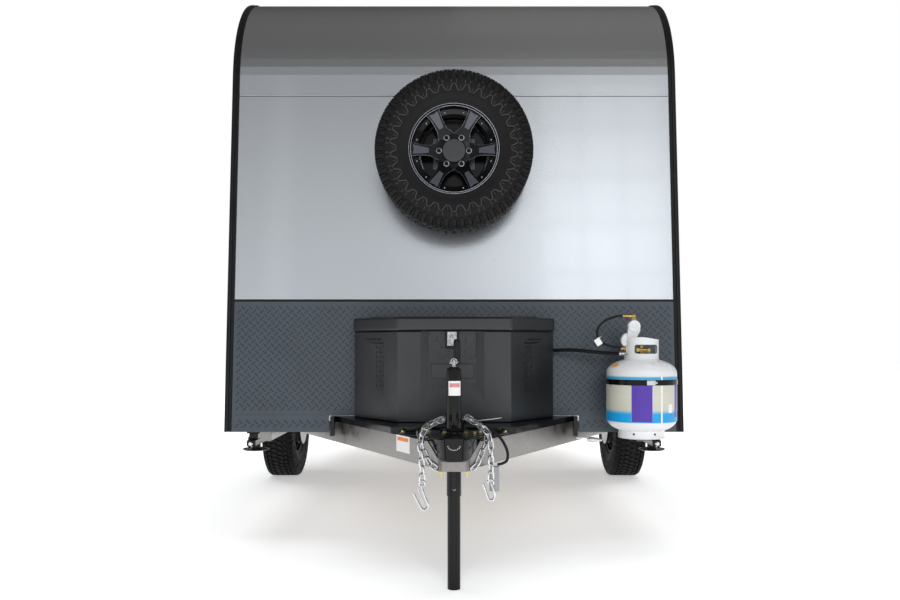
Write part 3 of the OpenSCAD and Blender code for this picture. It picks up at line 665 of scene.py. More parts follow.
def rim():
    """Six-spoke rim in four finishes: black casting, machined lines, dull facets, cap."""
    loop = [(0.2085, 0.084), (0.2085, 0.0872), (0.207, 0.088), (0.204, 0.088), (0.202, 0.086),
            (0.2005, 0.0815),
            (0.199, 0.0805), (0.1965, 0.0805), (0.1945, 0.079), (0.1925, 0.074), (0.1915, 0.06),
            (0.1895, 0.052),
            (0.168, 0.045), (0.1655, 0.04), (0.164, -0.03), (0.185, -0.056), (0.187, -0.08),
            (0.202, -0.085), (0.206, -0.088), (0.2085, -0.086), (0.206, -0.08), (0.193, -0.077),
            (0.192, -0.055), (0.169, -0.03), (0.169, 0.03), (0.1935, 0.05), (0.1945, 0.076),
            (0.2085, 0.084)]
    black = [lathe("barrel", loop, CENTRE, steps=96)]
    edge = [(0.072, 0.04), (0.086, 0.0372), (0.094, 0.0318), (0.104, 0.0265), (0.118, 0.0242),
            (0.14, 0.024),
            (0.16, 0.0255), (0.176, 0.028), (0.1865, 0.031), (0.1925, 0.0345)]

    def spoke(name, grow, z0, z1):
        pts = [(x, y + grow, 0) for x, y in edge] + [(x, -y - grow, 0) for x, y in edge[::-1]]
        return dished(slab(name, pts, (0, 0, z0), (0, 0, z1 - z0), 0.0006, 1))

    black.append(turned(spoke("spoke", -0.0012, 0.0385, 0.042), 6))
    black.append(turned(spoke("spoke_web", -0.003, 0.016, 0.0395), 6))
    black.append(lathe("hub", [(0, 0), (0.084, 0), (0.09, 0.006), (0.0915, 0.034), (0.0885, 0.0395),
                               (0.058, 0.0415),
                               (0.056, 0.04), (0, 0.04)], CENTRE, steps=72))
    nut = lathe("nut", [(0, 0.04), (0.0088, 0.04), (0.0088, 0.0495), (0.007, 0.0515), (0, 0.0515)],
                (0.069, 0, 0), steps=6)
    black.append(turned(nut, 6))
    bright = [turned(spoke("spoke_line", 0.0, 0.0375, 0.0405), 6)]
    bright.append(lathe("lip_line", [(0.2044, 0.0872), (0.2074, 0.0872), (0.207, 0.0884), (0.2048, 0.0884),
                                     (0.2044, 0.0872)], CENTRE, steps=96))
    bright.append(lathe("inner_line", [(0.1964, 0.0796), (0.199, 0.0796), (0.1988, 0.0812),
                                       (0.1966, 0.0812), (0.1964, 0.0796)], CENTRE, steps=96))
    seat = lathe("seat", [(0.0095, 0.0405), (0.0135, 0.0405), (0.013, 0.0445), (0.01, 0.045),
                          (0.0095, 0.0405)],
                 (0.069, 0, 0), steps=24)
    bright.append(turned(seat, 6))
    rivets = []
    for a in (16, 44):
        x, y, _ = polar(0.1775, a, 0)
        rivets.append(lathe("rivet", [(0.0042, 0.044), (0.0042, 0.05), (0.003, 0.0515), (0, 0.052)],
                            (x, y, 0), steps=12))
    bright.append(turned(join("rivets", rivets), 6))
    facet = slab("facet", [(0.115, -0.011, 0), (0.1885, -0.0215, 0), (0.184, 0, 0), (0.1885, 0.0215, 0),
                           (0.115, 0.011, 0)],
                 (0, 0, 0.0415), (0, 0, 0.0014), 0.0005, 1)
    facets = turned(dished(facet), 6)
    cap = lathe("cap", [(0, 0.0395), (0.053, 0.0395), (0.0535, 0.05), (0.052, 0.0535), (0.049, 0.0548),
                        (0.03, 0.0552),
                        (0, 0.0553)], CENTRE, steps=64)
    return [join("rim_casting", black), join("rim_lines", bright), facets, cap]


gloss_black = material("gloss_black", (0.0022, 0.0022, 0.0026), 0.12, specular=0.26,
                       mottled=(0.2, 30.0, 0.05), grained=(500.0, 0.04, 0.0003))
machined = material("machined_line", (0.45, 0.47, 0.5), 0.26, 1.0, mottled=(0.08, 60.0, 0.08),
                    grained=(900.0, 0.06, 0.0002))
dull_grey = material("dull_grey", (0.075, 0.082, 0.095), 0.34, 0.35, mottled=(0.08, 40.0, 0.06),
                     grained=(700.0, 0.1, 0.0003))
cap_grey = material("cap_grey", (0.036, 0.037, 0.039), 0.55, mottled=(0.08, 40.0, 0.06),
                    grained=(800.0, 0.2, 0.0003))
cast_iron = material("brake_drum", (0.05, 0.048, 0.046), 0.6, 0.6, mottled=(0.25, 40.0, 0.1),
                     grained=(300.0, 0.35, 0.0006))

WHEELS = {
    "spare": (Matrix(((1, 0, 0, 0), (0, 0, -1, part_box("spare_rim")[0].y + 0.088), (0, 1, 0, SPARE_Z),
                      (0, 0, 0, 1))), "trailer"),
    "left": (Matrix(((0, 0, 1, WHEEL_X), (1, 0, 0, AXLE_Y), (0, 1, 0, TYRE_R), (0, 0, 0, 1))),
             "wheel_left"),
    "right": (Matrix(((0, 0, -1, -WHEEL_X), (-1, 0, 0, AXLE_Y), (0, 1, 0, TYRE_R), (0, 0, 0, 1))),
              "wheel_right"),
}
tyre_pattern, ridge_pattern = tyre()
# Lighter rubber on the raised sidewall ridges: a painted highlight where the ridges catch the light.
ridge_painted_highlight = material("tyre_ridge_painted_highlight", (0.04, 0.041, 0.044), 0.5, specular=0.5,
                    grained=(700.0, 0.15, 0.0004))
rim_pattern = rim()
drum = lathe("drum", [(0.024, -0.098), (0.126, -0.098), (0.134, -0.092), (0.134, -0.084), (0.131, -0.082),
                      (0.131, -0.05),
                      (0.134, -0.046), (0.13, -0.038), (0.084, -0.036), (0.08, -0.002), (0.024, -0.002),
                      (0.024, -0.098)], CENTRE, steps=72)
for side, (where, body) in WHEELS.items():
    rim_node, tyre_node = ("spare_rim",
                           "spare_tyre") if side == "spare" else ("rim_" + side, "tyre_" + side)
    wheel = [(tyre_pattern, "tyre_casing", rubber, tyre_node, "tyre_rubber"),
             (ridge_pattern, "tyre_ridges", ridge_painted_highlight, tyre_node, "tyre_rubber")]
    for part, finish in zip(rim_pattern, (gloss_black, machined, dull_grey, cap_grey)):
        wheel.append((part, part.name, finish, rim_node, "black_rim"))
    if side != "spare":
        wheel.append((drum, "drum", cast_iron, rim_node, "black_rim"))
    for pattern, name, finish, node, slot in wheel:
        p = copy_at(pattern, where)
        p.name = side + "_" + name
        place(p, body, finish, [node], slot)
for pattern in [tyre_pattern, ridge_pattern, drum] + rim_pattern:
    bpy.data.objects.remove(pattern)


# ---------------------------------------------------------------- more ways to make a piece
def frustum(name, low, high, round_by=0.0, segments=2):
    """Solid between two outlines with the same number of corners."""
    clear()
    bpy.ops.mesh.primitive_cylinder_add(vertices=len(low), end_fill_type="NGON")
    o = bpy.context.object
    o.name = name
    for i, (a, b) in enumerate(zip(low, high)):
        o.data.vertices[2 * i].co = a
        o.data.vertices[2 * i + 1].co = b
    o.matrix_world = Matrix.Identity(4)
    outward(o)
    if round_by:
        bevel(o, round_by, segments)
        smooth(o)
    return o


def outward(o):
    """Merges doubles and turns every face outward."""
    pick(o)
    bpy.ops.object.mode_set(mode="EDIT")
    bpy.ops.mesh.select_all(action="SELECT")
    bpy.ops.mesh.remove_doubles(threshold=WELD_GAP)
    bpy.ops.mesh.select_all(action="SELECT")
    bpy.ops.mesh.normals_make_consistent(inside=False)
    bpy.ops.object.mode_set(mode="OBJECT")
    return o


def cut(o, *tools):
    """Takes tools away from a piece."""
    for t in tools:
        pick(o)
        m = o.modifiers.new("cut", "BOOLEAN")
        m.operation, m.object, m.solver = "DIFFERENCE", t, "EXACT"
        bpy.ops.object.modifier_apply(modifier=m.name)
        bpy.data.objects.remove(t)
    return o


def sweep(name, rings, angle=35):
    """Skin over closed rings of points, with both ends closed."""
    m, n = len(rings), len(rings[0])
    clear()
    bpy.ops.mesh.primitive_grid_add(x_subdivisions=n, y_subdivisions=m - 1, size=2)
    o = bpy.context.object
    o.name = name
    for v in o.data.vertices:
        i = round((v.co.x + 1) / 2 * n)
        j = round((v.co.y + 1) / 2 * (m - 1))
        v.co = rings[j][i % n]
    pick(o)
    bpy.ops.object.mode_set(mode="EDIT")
    bpy.ops.mesh.select_all(action="SELECT")
    bpy.ops.mesh.remove_doubles(threshold=WELD_GAP)
    bpy.ops.mesh.select_all(action="DESELECT")
    bpy.ops.mesh.select_mode(type="EDGE")
    bpy.ops.mesh.select_non_manifold()
    bpy.ops.mesh.edge_face_add()
    bpy.ops.mesh.select_mode(type="VERT")
    bpy.ops.mesh.select_all(action="SELECT")
    bpy.ops.mesh.normals_make_consistent(inside=False)
    bpy.ops.object.mode_set(mode="OBJECT")
    return smooth(o, angle)


def round_bar(name, line, radius, steps=10):
    """Bent round wire or bar as a mesh."""
    line = [Vector(p) for p in line]
    rings = []
    side = Vector((0.31, 0.52, 0.79))
    for i, p in enumerate(line):
        lead = (line[min(i + 1, len(line) - 1)] - line[max(i - 1, 0)]).normalized()
        side = (side - side.dot(lead) * lead).normalized()
        up = lead.cross(side)
        rings.append([p + radius * (math.cos(a) * side + math.sin(a) * up)
                      for a in (2 * math.pi * k / steps for k in range(steps))])
    return sweep(name, rings, 60)


def patch(name, x, y, r, a0, a1, z0, z1, thick=0.0006, steps=24):
    """Label or band wrapped round an upright cylinder, angles from the front, in degrees."""
    turn = [math.radians(a0 + (a1 - a0) * k / steps) for k in range(steps + 1)]
    out = [(x + (r + thick) * math.sin(a), y - (r + thick) * math.cos(a), z0) for a in turn]
    back = [(x + r * math.sin(a), y - r * math.cos(a), z0) for a in reversed(turn)]
    return smooth(slab(name, out + back, (0, 0, 0), (0, 0, z1 - z0)), 30)


def bolt(name, at, axis, head=0.0095, tall=0.007, washer=0.0125):
    """Hexagon head on a washer."""
    a = lathe("w", [(0, 0), (washer, 0), (washer, 0.0016), (washer - 0.001, 0.0022), (0, 0.0022)], at, axis,
              20)
    b = lathe("h", [(0, 0.002), (head, 0.002), (head, tall), (head * 0.82, tall + 0.0016),
                    (0, tall + 0.0016)], at, axis, 6, 25)
    return join(name, [a, b])


# ---------------------------------------------------------------- tool box
def plan(e, z):
    """Outline of the box at a height, e metres inside its outer faces."""
    half_back, half_front, back, front = 0.466, 0.2485, -1.422, -1.724
    return [(-half_back + e, back - e, z), (half_back - e, back - e, z),
            (half_back - e, back - 0.043 + e * 0.4, z),
            (half_front - e * 0.4, front + e, z), (-half_front + e * 0.4, front + e, z),
            (-half_back + e, back - 0.043 + e * 0.4, z)]


body = frustum("tool_box_body", plan(0.006, 0.606), plan(0.006, BOX_SEAM_Z - 0.001), 0.0045, 3)
# One recess in the front and one in each side facet.
well = frustum("well", pane_xz(-0.11, 0.095, 0.7466, 1.02, -1.696),
               pane_xz(-0.149, 0.136, 0.7, 1.02, -1.7205))
corner = Vector((-0.466, -1.465, 0))
run = Vector((-0.2485, -1.724, 0)) - corner
inward = Vector((run.y, -run.x, 0)).normalized()
if inward.y < 0:
    inward = -inward


def on_facet(f, z, deep):
    """Point on the box's left front facet, a share f along it and deep metres in."""
    p = corner + run * f + inward * deep
    return (p.x, p.y, z)


def facet_pane(f0, f1, z0, z1, deep):
    """Rectangle on that facet."""
    return [on_facet(f, z, deep) for f, z in ((f0, z0), (f1, z0), (f1, z1), (f0, z1))]


side_well = frustum("side_well", facet_pane(0.42, 0.66, 0.742, 0.945, 0.024),
                    facet_pane(0.25, 0.71, 0.694, 0.958, -0.002))
other_well = mirrored(side_well)


def inner(e, z):
    """Outline of the box's inside, e metres inside its walls."""
    x = 0.466 - e * 1.14
    return [(-x, -1.422 - e, z), (x, -1.422 - e, z), (0.2485 - e * 0.46, -1.724 + e, z),
            (-0.2485 + e * 0.46, -1.724 + e, z)]


hollow = frustum("hollow", inner(0.036, 0.618), inner(0.036, 1.05))
cut(body, hollow, well, side_well, other_well)
smooth(outward(body), 30)


def bar_at(x, y, z, lean, long=0.015, wide=0.0026, high=0.0022):
    """One raised bar on a face that looks to -Y."""
    c, s = math.cos(math.radians(lean)), math.sin(math.radians(lean))
    ring = [(u * long, v * wide) for u, v in ((-1, 0), (-0.8, -1), (0.8, -1), (1, 0), (0.8, 1), (-0.8, 1))]
    low = [(x + u * c - v * s, y + 0.001, z + u * s + v * c) for u, v in ring]
    top = [(x + (u * c - v * s) * 0.9, y - high, z + (u * s + v * c) * 0.9) for u, v in ring]
    return frustum("bar", low, top)


# Raised bars in the recesses, left out where the blank panel and the latch are.
bars = []
for row in range(8):
    for col in range(7):
        x, z = -0.1035 + 0.0075 + col * BOX_PATTERN, 0.982 - row * BOX_PATTERN
        if x > 0.092 or 0.787 < z < 0.866 or z < 0.755:
            continue
        if -0.045 < x < 0.03 and z > 0.925:
            continue
        bars.append(bar_at(x, -1.6975, z, 45 if (row + col) % 2 else -45))
bars.append(block("blank_panel", (-0.102, -1.7, 0.794), (0.088, -1.694, 0.862), 0.001, 1))
bars.append(block("blank_panel_rim", (-0.098, -1.7012, 0.798), (0.084, -1.694, 0.858), 0.001, 1))
for side in (1, -1):
    for row in range(9):
        for col in range(3):
            f, z = 0.46 + col * 0.08, 0.93 - row * 0.0215
            p = Vector(on_facet(f, z, 0.0235))
            b = bar_at(0, 0, 0, 45 if (row + col) % 2 else -45, 0.0085, 0.0017, 0.0016)
            heading = math.atan2(-inward.x, inward.y)
            b.data.transform(Matrix.Translation(p) @ Matrix.Rotation(heading, 4, "Z"))
            if side < 0:
                bars.append(mirrored(b))
                bpy.data.objects.remove(b)
            else:
                bars.append(b)
shell = join("tool_box_shell", [body] + bars)
fix(shell, poly, ["tool_box"], "black_plastic")
slots = []
for sx in (1, -1):
    a, b = Vector(on_facet(0.3, 0.966, -0.0006)), Vector(on_facet(0.62, 0.966, -0.0006))
    s = round_bar("slot", [(sx * a.x, a.y, a.z), (sx * b.x, b.y, b.z)], 0.0022, 6)
    slots.append(s)
fix(join("box_slots", slots), black_trim, slot="black_plastic")

# Lid: a hollow skirt, a shallow crown and its two hinges.
lid = frustum("lid_skirt", plan(0.0, BOX_SEAM_Z + 0.0005), plan(0.0, 1.0635), 0.011, 4)
lid_hollow = frustum("lid_hollow", plan(0.02, 0.99), plan(0.022, 1.052))
cut(lid, lid_hollow)
smooth(outward(lid), 30)
crown = frustum("lid_crown", inner(0.05, 1.062), inner(0.075, 1.0695), 0.003, 2)
lid_hinges = []
for x in (-0.3, 0.22):
    lid_hinges.append(rod("pin", (x, -1.418, 1.004), (x + 0.08, -1.418, 1.004), 0.0044, 16))
    lid_hinges.append(block("leaf", (x + 0.004, -1.4235, 1.006), (x + 0.076, -1.4185, 1.036), 0.001, 1))
place(join("tool_box_lid", [lid, crown]), "box_lid", poly, ["box_lid"], "black_plastic")
place(join("lid_hinges", lid_hinges), "box_lid", black_steel, slot="black_plastic")

# Latch: plate with its keyway, lock, paddle, and the cup that they sit in.
latch_plate = block("latch_plate", (-0.029, -1.721, 0.938), (0.012, -1.7165, 0.999), 0.0015, 2)
keyway = lathe("k", [(0, 0), (0.006, 0), (0.006, 0.004), (0, 0.004)], (-0.0085, -1.7222, 0.978), (0, 1, 0),
               20)
cut(latch_plate, keyway)
lock = rod("lock", (-0.0085, -1.718, 0.978), (-0.0085, -1.7214, 0.978), 0.0048, 20)
paddle = frustum("paddle", pane_xz(-0.018, 0.001, 0.942, 0.966, -1.7215),
                 [(-0.017, -1.7232, 0.944), (0.0, -1.7232, 0.944), (0.0, -1.7222, 0.964),
                  (-0.017, -1.7222, 0.964)], 0.0008, 1)
fix(join("box_latch", [smooth(latch_plate), lock, paddle]), zinc, slot="zinc_steel")
cup = block("latch_cup", (-0.0375, -1.7195, 0.927), (0.0205, -1.696, 0.999), 0.003, 2)
fix(cup, black_trim, slot="black_plastic")

# ---------------------------------------------------------------- jack
# Outer tube with its cap, flange and weld, and the slot low in its front, drawn as painted shade with a
# painted highlight round its lower end.
outer = lathe("jack_outer", [(0.0262, 0.36), (0.0285, 0.361), (0.0285, 0.846), (0.0278, 0.85),
                             (0.0262, 0.85), (0.0262, 0.838),
                             (0.012, 0.836), (0.012, 0.834), (0.0262, 0.832), (0.0262, 0.36)], JACK,
              steps=64)
cap_top = lathe("jack_cap", [(0, 0.842), (0.027, 0.842), (0.0275, 0.85), (0.024, 0.853), (0.0195, 0.854),
                             (0.019, 0.858), (0, 0.858)], JACK, steps=48)
flange = lathe("jack_flange", [(0.0286, 0.608), (0.053, 0.608), (0.054, 0.61), (0.054, 0.6155),
                               (0.053, 0.6165), (0.0286, 0.6165), (0.0286, 0.608)], JACK, steps=48)
seam_weld = lathe("weld", [(0.0284, 0.616), (0.033, 0.6162), (0.031, 0.6195), (0.0284, 0.6215),
                           (0.0284, 0.616)], JACK, steps=48)
fix(join("jack_outer_tube", [outer, cap_top, flange, seam_weld]), black_steel, ["jack_tube"], "black_steel")
# A thin dark sheet on the tube stands in for the slot: painted shade in the opening, over the inner tube's
# own black.
slot_ends = arc_xz(0, -2.1287, 0.422, 0.0045, 0, 181, 20) + arc_xz(0, -2.1287, 0.39, 0.0045, 200, 361, 20)
slot_painted_shade = slab("jack_slot", slot_ends, (0, 0, 0), (0, 0.0012, 0))
fix(slot_painted_shade, hose_rubber, slot="black_steel")
# A bright zinc bar round the slot's lower end: a painted highlight on the slot's edge.
slot_painted_highlight = round_bar("jack_slot_painted_highlight", arc_xz(0, -2.1284, 0.39, 0.0052, 180, 361, 15), 0.0009, 6)
fix(slot_painted_highlight, zinc, slot="zinc_steel")
# The tube that slides, and its foot.
leg = lathe("jack_inner_tube", [(0.0216, 0.0), (0.0252, 0.0005), (0.0254, 0.003), (0.0254, 0.5),
                                (0.0216, 0.5), (0.0216, 0.006),
                                (0.0216, 0.0)], JACK, steps=56)
foot = lathe("jack_foot_plug", [(0, 0.0012), (0.0214, 0.0012), (0.0214, 0.006), (0, 0.006)], JACK, steps=40)
place(join("jack_inner_tube", [leg, foot]), "jack_leg", black_steel, ["jack_leg"], "black_steel")

# Crank: shaft, cross pin, pull ring, clip and arm, with a grip.
crank = [lathe("shaft", [(0, 0.856), (0.0085, 0.856), (0.0085, 0.862), (0.0065, 0.864), (0.0065, 0.884),
                         (0.0055, 0.886), (0, 0.886)], JACK, steps=24)]
crank.append(rod("cross_pin", (-0.017, JY - 0.0015, 0.8765), (0.016, JY - 0.0015, 0.8765), 0.0026, 12))
crank.append(round_bar("pull_ring", arc_xz(0, JY - 0.0085, 0.879, 0.0115, -60, 241, 15), 0.0018, 8))
crank.append(round_bar("clip", [(-0.017, JY - 0.0015, 0.8765), (-0.0185, JY - 0.006, 0.8745),
                                (-0.015, JY - 0.01, 0.87),
                                (-0.01, JY - 0.0085, 0.872)], 0.0014, 8))
crank.append(round_bar("crank_arm", route([(0.0, JY + 0.004, 0.872), (0.006, JY + 0.018, 0.876),
                                           (0.0115, JY + 0.04, 0.872),
                                           (0.0115, JY + 0.052, 0.866)], 4), 0.0048, 12))
fix(join("jack_crank_arm", crank), zinc, ["jack_crank"], "zinc_steel")
grip = lathe("jack_crank_grip", [(0, 0.862), (0.01, 0.862), (0.0128, 0.865), (0.0136, 0.872),
                                 (0.0136, 0.944), (0.0132, 0.958),
                                 (0.0112, 0.964), (0.005, 0.966), (0, 0.966)], (0.0115, JY + 0.05, 0),
             steps=32)
fix(grip, black_trim, ["jack_crank"], "black_rubber")

label_white = material("blank_label", (0.8, 0.79, 0.78), 0.45, mottled=(0.03, 30.0, 0.05),
                       grained=(500.0, 0.05, 0.0002))
label_red = material("blank_red_band", (0.62, 0.25, 0.25), 0.45, mottled=(0.22, 260.0, 0.05),
                     grained=(500.0, 0.05, 0.0002))
fix(patch("jack_label", JX, JY, 0.0286, -46, 60, 0.748, 0.804, 0.0004, 20), label_white, slot="white_paint")
fix(patch("jack_label_band", JX, JY, 0.029, -36, 48, 0.78, 0.796, 0.0002, 16), label_red, slot="red_lens")

# ---------------------------------------------------------------- coupler
gold_zinc = material("yellow_zinc", (0.62, 0.55, 0.28), 0.3, 1.0, mottled=(0.2, 90.0, 0.1),
                     grained=(400.0, 0.08, 0.0003))
top = [(-0.034, TIP, 0.6075), (0.034, TIP, 0.6075), (0.062, TIP + 0.026, 0.6075),
       (0.112, TIP + 0.104, 0.6075),
       (0.112, END - 0.002, 0.6075), (-0.112, END - 0.002, 0.6075), (-0.112, TIP + 0.104, 0.6075),
       (-0.062, TIP + 0.026, 0.6075)]
low = [(-0.028, TIP + 0.01, 0.518), (0.028, TIP + 0.01, 0.518), (0.048, TIP + 0.03, 0.518),
       (0.06, TIP + 0.1, 0.518),
       (0.06, END - 0.002, 0.518), (-0.06, END - 0.002, 0.518), (-0.06, TIP + 0.1, 0.518),
       (-0.048, TIP + 0.03, 0.518)]
shoe = frustum("coupler_shoe", low, top, 0.006, 3)
ball_cut = lathe("b", [(0, 0.5), (0.026, 0.5), (0.026, 0.546), (0.0245, 0.5545), (0.0205, 0.562),
                       (0.015, 0.5672), (0.008, 0.5707), (0, 0.572)],
                 (0, TIP + 0.056, 0), steps=40)
cut(shoe, ball_cut)
smooth(outward(shoe), 30)
deck = slab("coupler_deck", [(-0.112, END - 0.003, 0.581), (0.112, END - 0.003, 0.581),
                             (0.118, JY - 0.01, 0.581), (0.15, JY + 0.052, 0.581),
                             (-0.15, JY + 0.052, 0.581), (-0.118, JY - 0.01, 0.581)], CENTRE, (0, 0, 0.027),
            0.003, 2)
cut(deck, lathe("jack_hole", [(0, 0.57), (0.0295, 0.57), (0.0295, 0.62), (0, 0.62)], JACK, steps=48))
smooth(outward(deck), 30)
arms = slab("coupler_arms", [(-0.15, JY + 0.051, 0.581), (0.15, JY + 0.051, 0.581),
                             (0.226, JY + 0.15, 0.581), (0.186, JY + 0.172, 0.581),
                             (0.092, JY + 0.066, 0.581), (-0.092, JY + 0.066, 0.581),
                             (-0.186, JY + 0.172, 0.581), (-0.226, JY + 0.15, 0.581)],
            (0, 0, 0), (0, 0, 0.008), 0.0015, 1)
rolled = []
for sx in (1, -1):
    face = [(0.0375, TIP + 0.0035, 0.6), (0.0585, TIP + 0.0225, 0.6), (0.098, TIP + 0.085, 0.598),
            (0.096, TIP + 0.0835, 0.588),
            (0.06, TIP + 0.081, 0.53), (0.046, TIP + 0.033, 0.526), (0.034, TIP + 0.013, 0.53),
            (0.0355, TIP + 0.0065, 0.57)]
    ring = route([(sx * x, y - 0.001, z) for x, y, z in face + [face[0]]], 4)
    rolled.append(round_bar("rolled_edge", ring, 0.0026, 8))
nose = lathe("ball_housing", [(0.0, 0.6065), (0.04, 0.6065), (0.04, 0.611), (0.036, 0.617), (0.028, 0.6215),
                              (0.015, 0.624), (0, 0.6245)],
             (0, TIP + 0.056, 0), steps=40)
lever = frustum("latch_lever", [(-0.012, TIP + 0.07, 0.62), (0.012, TIP + 0.07, 0.62),
                                (0.012, TIP + 0.15, 0.628), (-0.012, TIP + 0.15, 0.628)],
                [(-0.01, TIP + 0.072, 0.632), (0.01, TIP + 0.072, 0.632), (0.01, TIP + 0.148, 0.64),
                 (-0.01, TIP + 0.148, 0.64)], 0.003, 2)
pivot = rod("pivot", (-0.02, TIP + 0.074, 0.626), (0.02, TIP + 0.074, 0.626), 0.005, 16)
fix(join("coupler_head", [shoe, deck, arms, nose, lever, pivot] + rolled), gloss_black, ["coupler"],
    "black_steel")
# A ring of small zinc dots on the front of the coupler: painted glints, bright specks of reflected light.
painted_glints = []
for k in range(9):
    a = math.radians(200 + k * 17.5)
    x, z = 0.0235 * math.cos(a), 0.583 + 0.02 * math.sin(a)
    painted_glints.append(lathe("s", [(0, 0), (0.0024, 0.0002), (0.002, 0.0016), (0, 0.0022)],
                        (x, TIP + 0.0015 + (0.6075 - z) * 0.11, z), (0, -1, 0.1), 10))
fix(join("coupler_painted_glints", painted_glints), zinc, slot="zinc_steel")
bolts = []
for x, y in ((-0.036, END + 0.03), (0.046, END + 0.028), (-0.096, END + 0.062), (0.098, END + 0.06),
             (0.075, END + 0.01)):
    bolts.append(bolt("bolt", (x, y, 0.608), (0, 0, 1)))
for x, y in ((-0.205, JY + 0.15), (0.205, JY + 0.15)):
    bolts.append(bolt("bolt", (x, y, 0.589), (0, 0, 1)))
for x in (-0.048, 0.05):
    bolts.append(bolt("nut", (x, END - 0.016, 0.4714), (0, 0, -1), 0.01, 0.01))
    bolts.append(rod("stud", (x, END - 0.016, 0.466), (x, END - 0.016, 0.449), 0.0055, 16))
fix(join("coupler_bolts", bolts), gold_zinc, slot="brass_fittings")

# ---------------------------------------------------------------- chains
def link():
    """One chain link, long in X."""
    clear()
    bpy.ops.mesh.primitive_torus_add(major_radius=0.0104, minor_radius=0.0037, major_segments=20,
                                     minor_segments=8)
    o = bpy.context.object
    o.name = "link"
    for v in o.data.vertices:
        v.co.x += 0.0078 if v.co.x > 1e-4 else (-0.0078 if v.co.x < -1e-4 else 0)
    return smooth(o, 60)


def chain(name, line):
    """Links laid end to end along a line, each turned across the one before."""
    pitch = 0.0292
    pattern = link()
    parts, carried = [], 0.0
    marks = [line[0]]
    for a, b in zip(line, line[1:]):
        span = (b - a).length
        while carried + span >= pitch:
            a = a + (b - a) * ((pitch - carried) / span)
            span = (b - a).length
            carried = 0.0
            marks.append(a)
        carried += span
    for k, (a, b) in enumerate(zip(marks, marks[1:])):
        t = (b - a).normalized()
        up = Vector((0.25, 1, 0.1))
        s = (up - up.dot(t) * t).normalized()
        q = t.cross(s)
        turn = math.radians(45 + (90 if k % 2 else 0) + 9 * math.sin(1.7 * k))
        n = math.cos(turn) * s + math.sin(turn) * q
        w = n.cross(t)
        m = Matrix(((t.x, w.x, n.x, (a.x + b.x) / 2), (t.y, w.y, n.y, (a.y + b.y) / 2),
                    (t.z, w.z, n.z, (a.z + b.z) / 2), (0, 0, 0, 1)))
        parts.append(copy_at(pattern, m))
    bpy.data.objects.remove(pattern)
    return join(name, parts)


CY = TIP + 0.104  # the chains' anchor loops
# Each chain rises from its anchor, lies over the jack's flange and hangs in front.
left_chain = chain("chain_left", route([
    (-0.064, CY + 0.012, 0.478), (-0.084, CY + 0.012, 0.494), (-0.112, CY + 0.018, 0.54),
    (-0.127, CY + 0.036, 0.595),
    (-0.108, CY + 0.06, 0.632), (-0.07, CY + 0.078, 0.652), (-0.045, CY + 0.078, 0.664),
    (-0.042, CY + 0.052, 0.66),
    (-0.07, CY + 0.022, 0.648), (-0.105, CY + 0.002, 0.63), (-0.124, CY - 0.006, 0.59),
    (-0.121, CY - 0.008, 0.53),
    (-0.118, CY - 0.008, 0.47), (-0.119, CY - 0.008, 0.418)], 6))
right_chain = chain("chain_right", route([
    (0.066, CY + 0.012, 0.476), (0.084, CY + 0.012, 0.49), (0.1, CY + 0.014, 0.532),
    (0.124, CY + 0.034, 0.592),
    (0.106, CY + 0.058, 0.63), (0.07, CY + 0.078, 0.656), (0.046, CY + 0.078, 0.67),
    (0.044, CY + 0.052, 0.664),
    (0.076, CY + 0.02, 0.654), (0.108, CY + 0.002, 0.636), (0.133, CY - 0.006, 0.6),
    (0.137, CY - 0.008, 0.54),
    (0.138, CY - 0.008, 0.48), (0.137, CY - 0.008, 0.44)], 6))
hooks = [
    round_bar("hook", route([(-0.119, CY - 0.008, 0.432), (-0.119, CY - 0.01, 0.412),
                             (-0.108, CY - 0.012, 0.378), (-0.0965, CY - 0.012, 0.352),
                             (-0.101, CY - 0.012, 0.335), (-0.113, CY - 0.012, 0.33),
                             (-0.124, CY - 0.012, 0.341),
                             (-0.139, CY - 0.012, 0.368), (-0.151, CY - 0.012, 0.392)], 5), 0.0046, 12),
    round_bar("eye", arc_xz(-0.1185, CY - 0.008, 0.428, 0.0105, -90, 231, 20), 0.004, 10),
    round_bar("keeper", route([(-0.133, CY - 0.008, 0.412), (-0.126, CY - 0.008, 0.385),
                               (-0.116, CY - 0.008, 0.362), (-0.112, CY - 0.008, 0.352)], 3), 0.0024, 8),
    round_bar("hook", route([(0.137, CY - 0.008, 0.436), (0.14, CY - 0.01, 0.424),
                             (0.148, CY - 0.012, 0.405), (0.151, CY - 0.012, 0.384),
                             (0.144, CY - 0.012, 0.3675), (0.13, CY - 0.012, 0.369),
                             (0.122, CY - 0.012, 0.388),
                             (0.114, CY - 0.012, 0.412), (0.108, CY - 0.012, 0.428)], 5), 0.0046, 12),
    round_bar("eye", arc_xz(0.1365, CY - 0.008, 0.432, 0.0105, -90, 231, 20), 0.004, 10),
]
fix(left_chain, zinc, ["safety_chains"], "zinc_steel")
fix(right_chain, zinc, ["safety_chains"], "zinc_steel")
fix(join("chain_hooks", hooks), zinc, ["safety_chains"], "zinc_steel")
pin_wire = round_bar("pin_lanyard", route([(0.078, JY + 0.01, 0.648), (0.11, JY + 0.02, 0.6505),
                                           (0.15, JY + 0.03, 0.6535), (0.185, JY + 0.036, 0.658)], 4),
                     0.0016, 8)
fix(pin_wire, zinc, slot="zinc_steel")


# ---------------------------------------------------------------- gas bottle
arc_low = [(0.155 * math.sin(math.radians(t)),
            0.084 - 0.066 * math.cos(math.radians(t))) for t in range(0, 91, 9)]
arc_top = [(0.155 * math.cos(math.radians(t)),
            0.292 + 0.066 * math.sin(math.radians(t))) for t in range(0, 91, 9)]
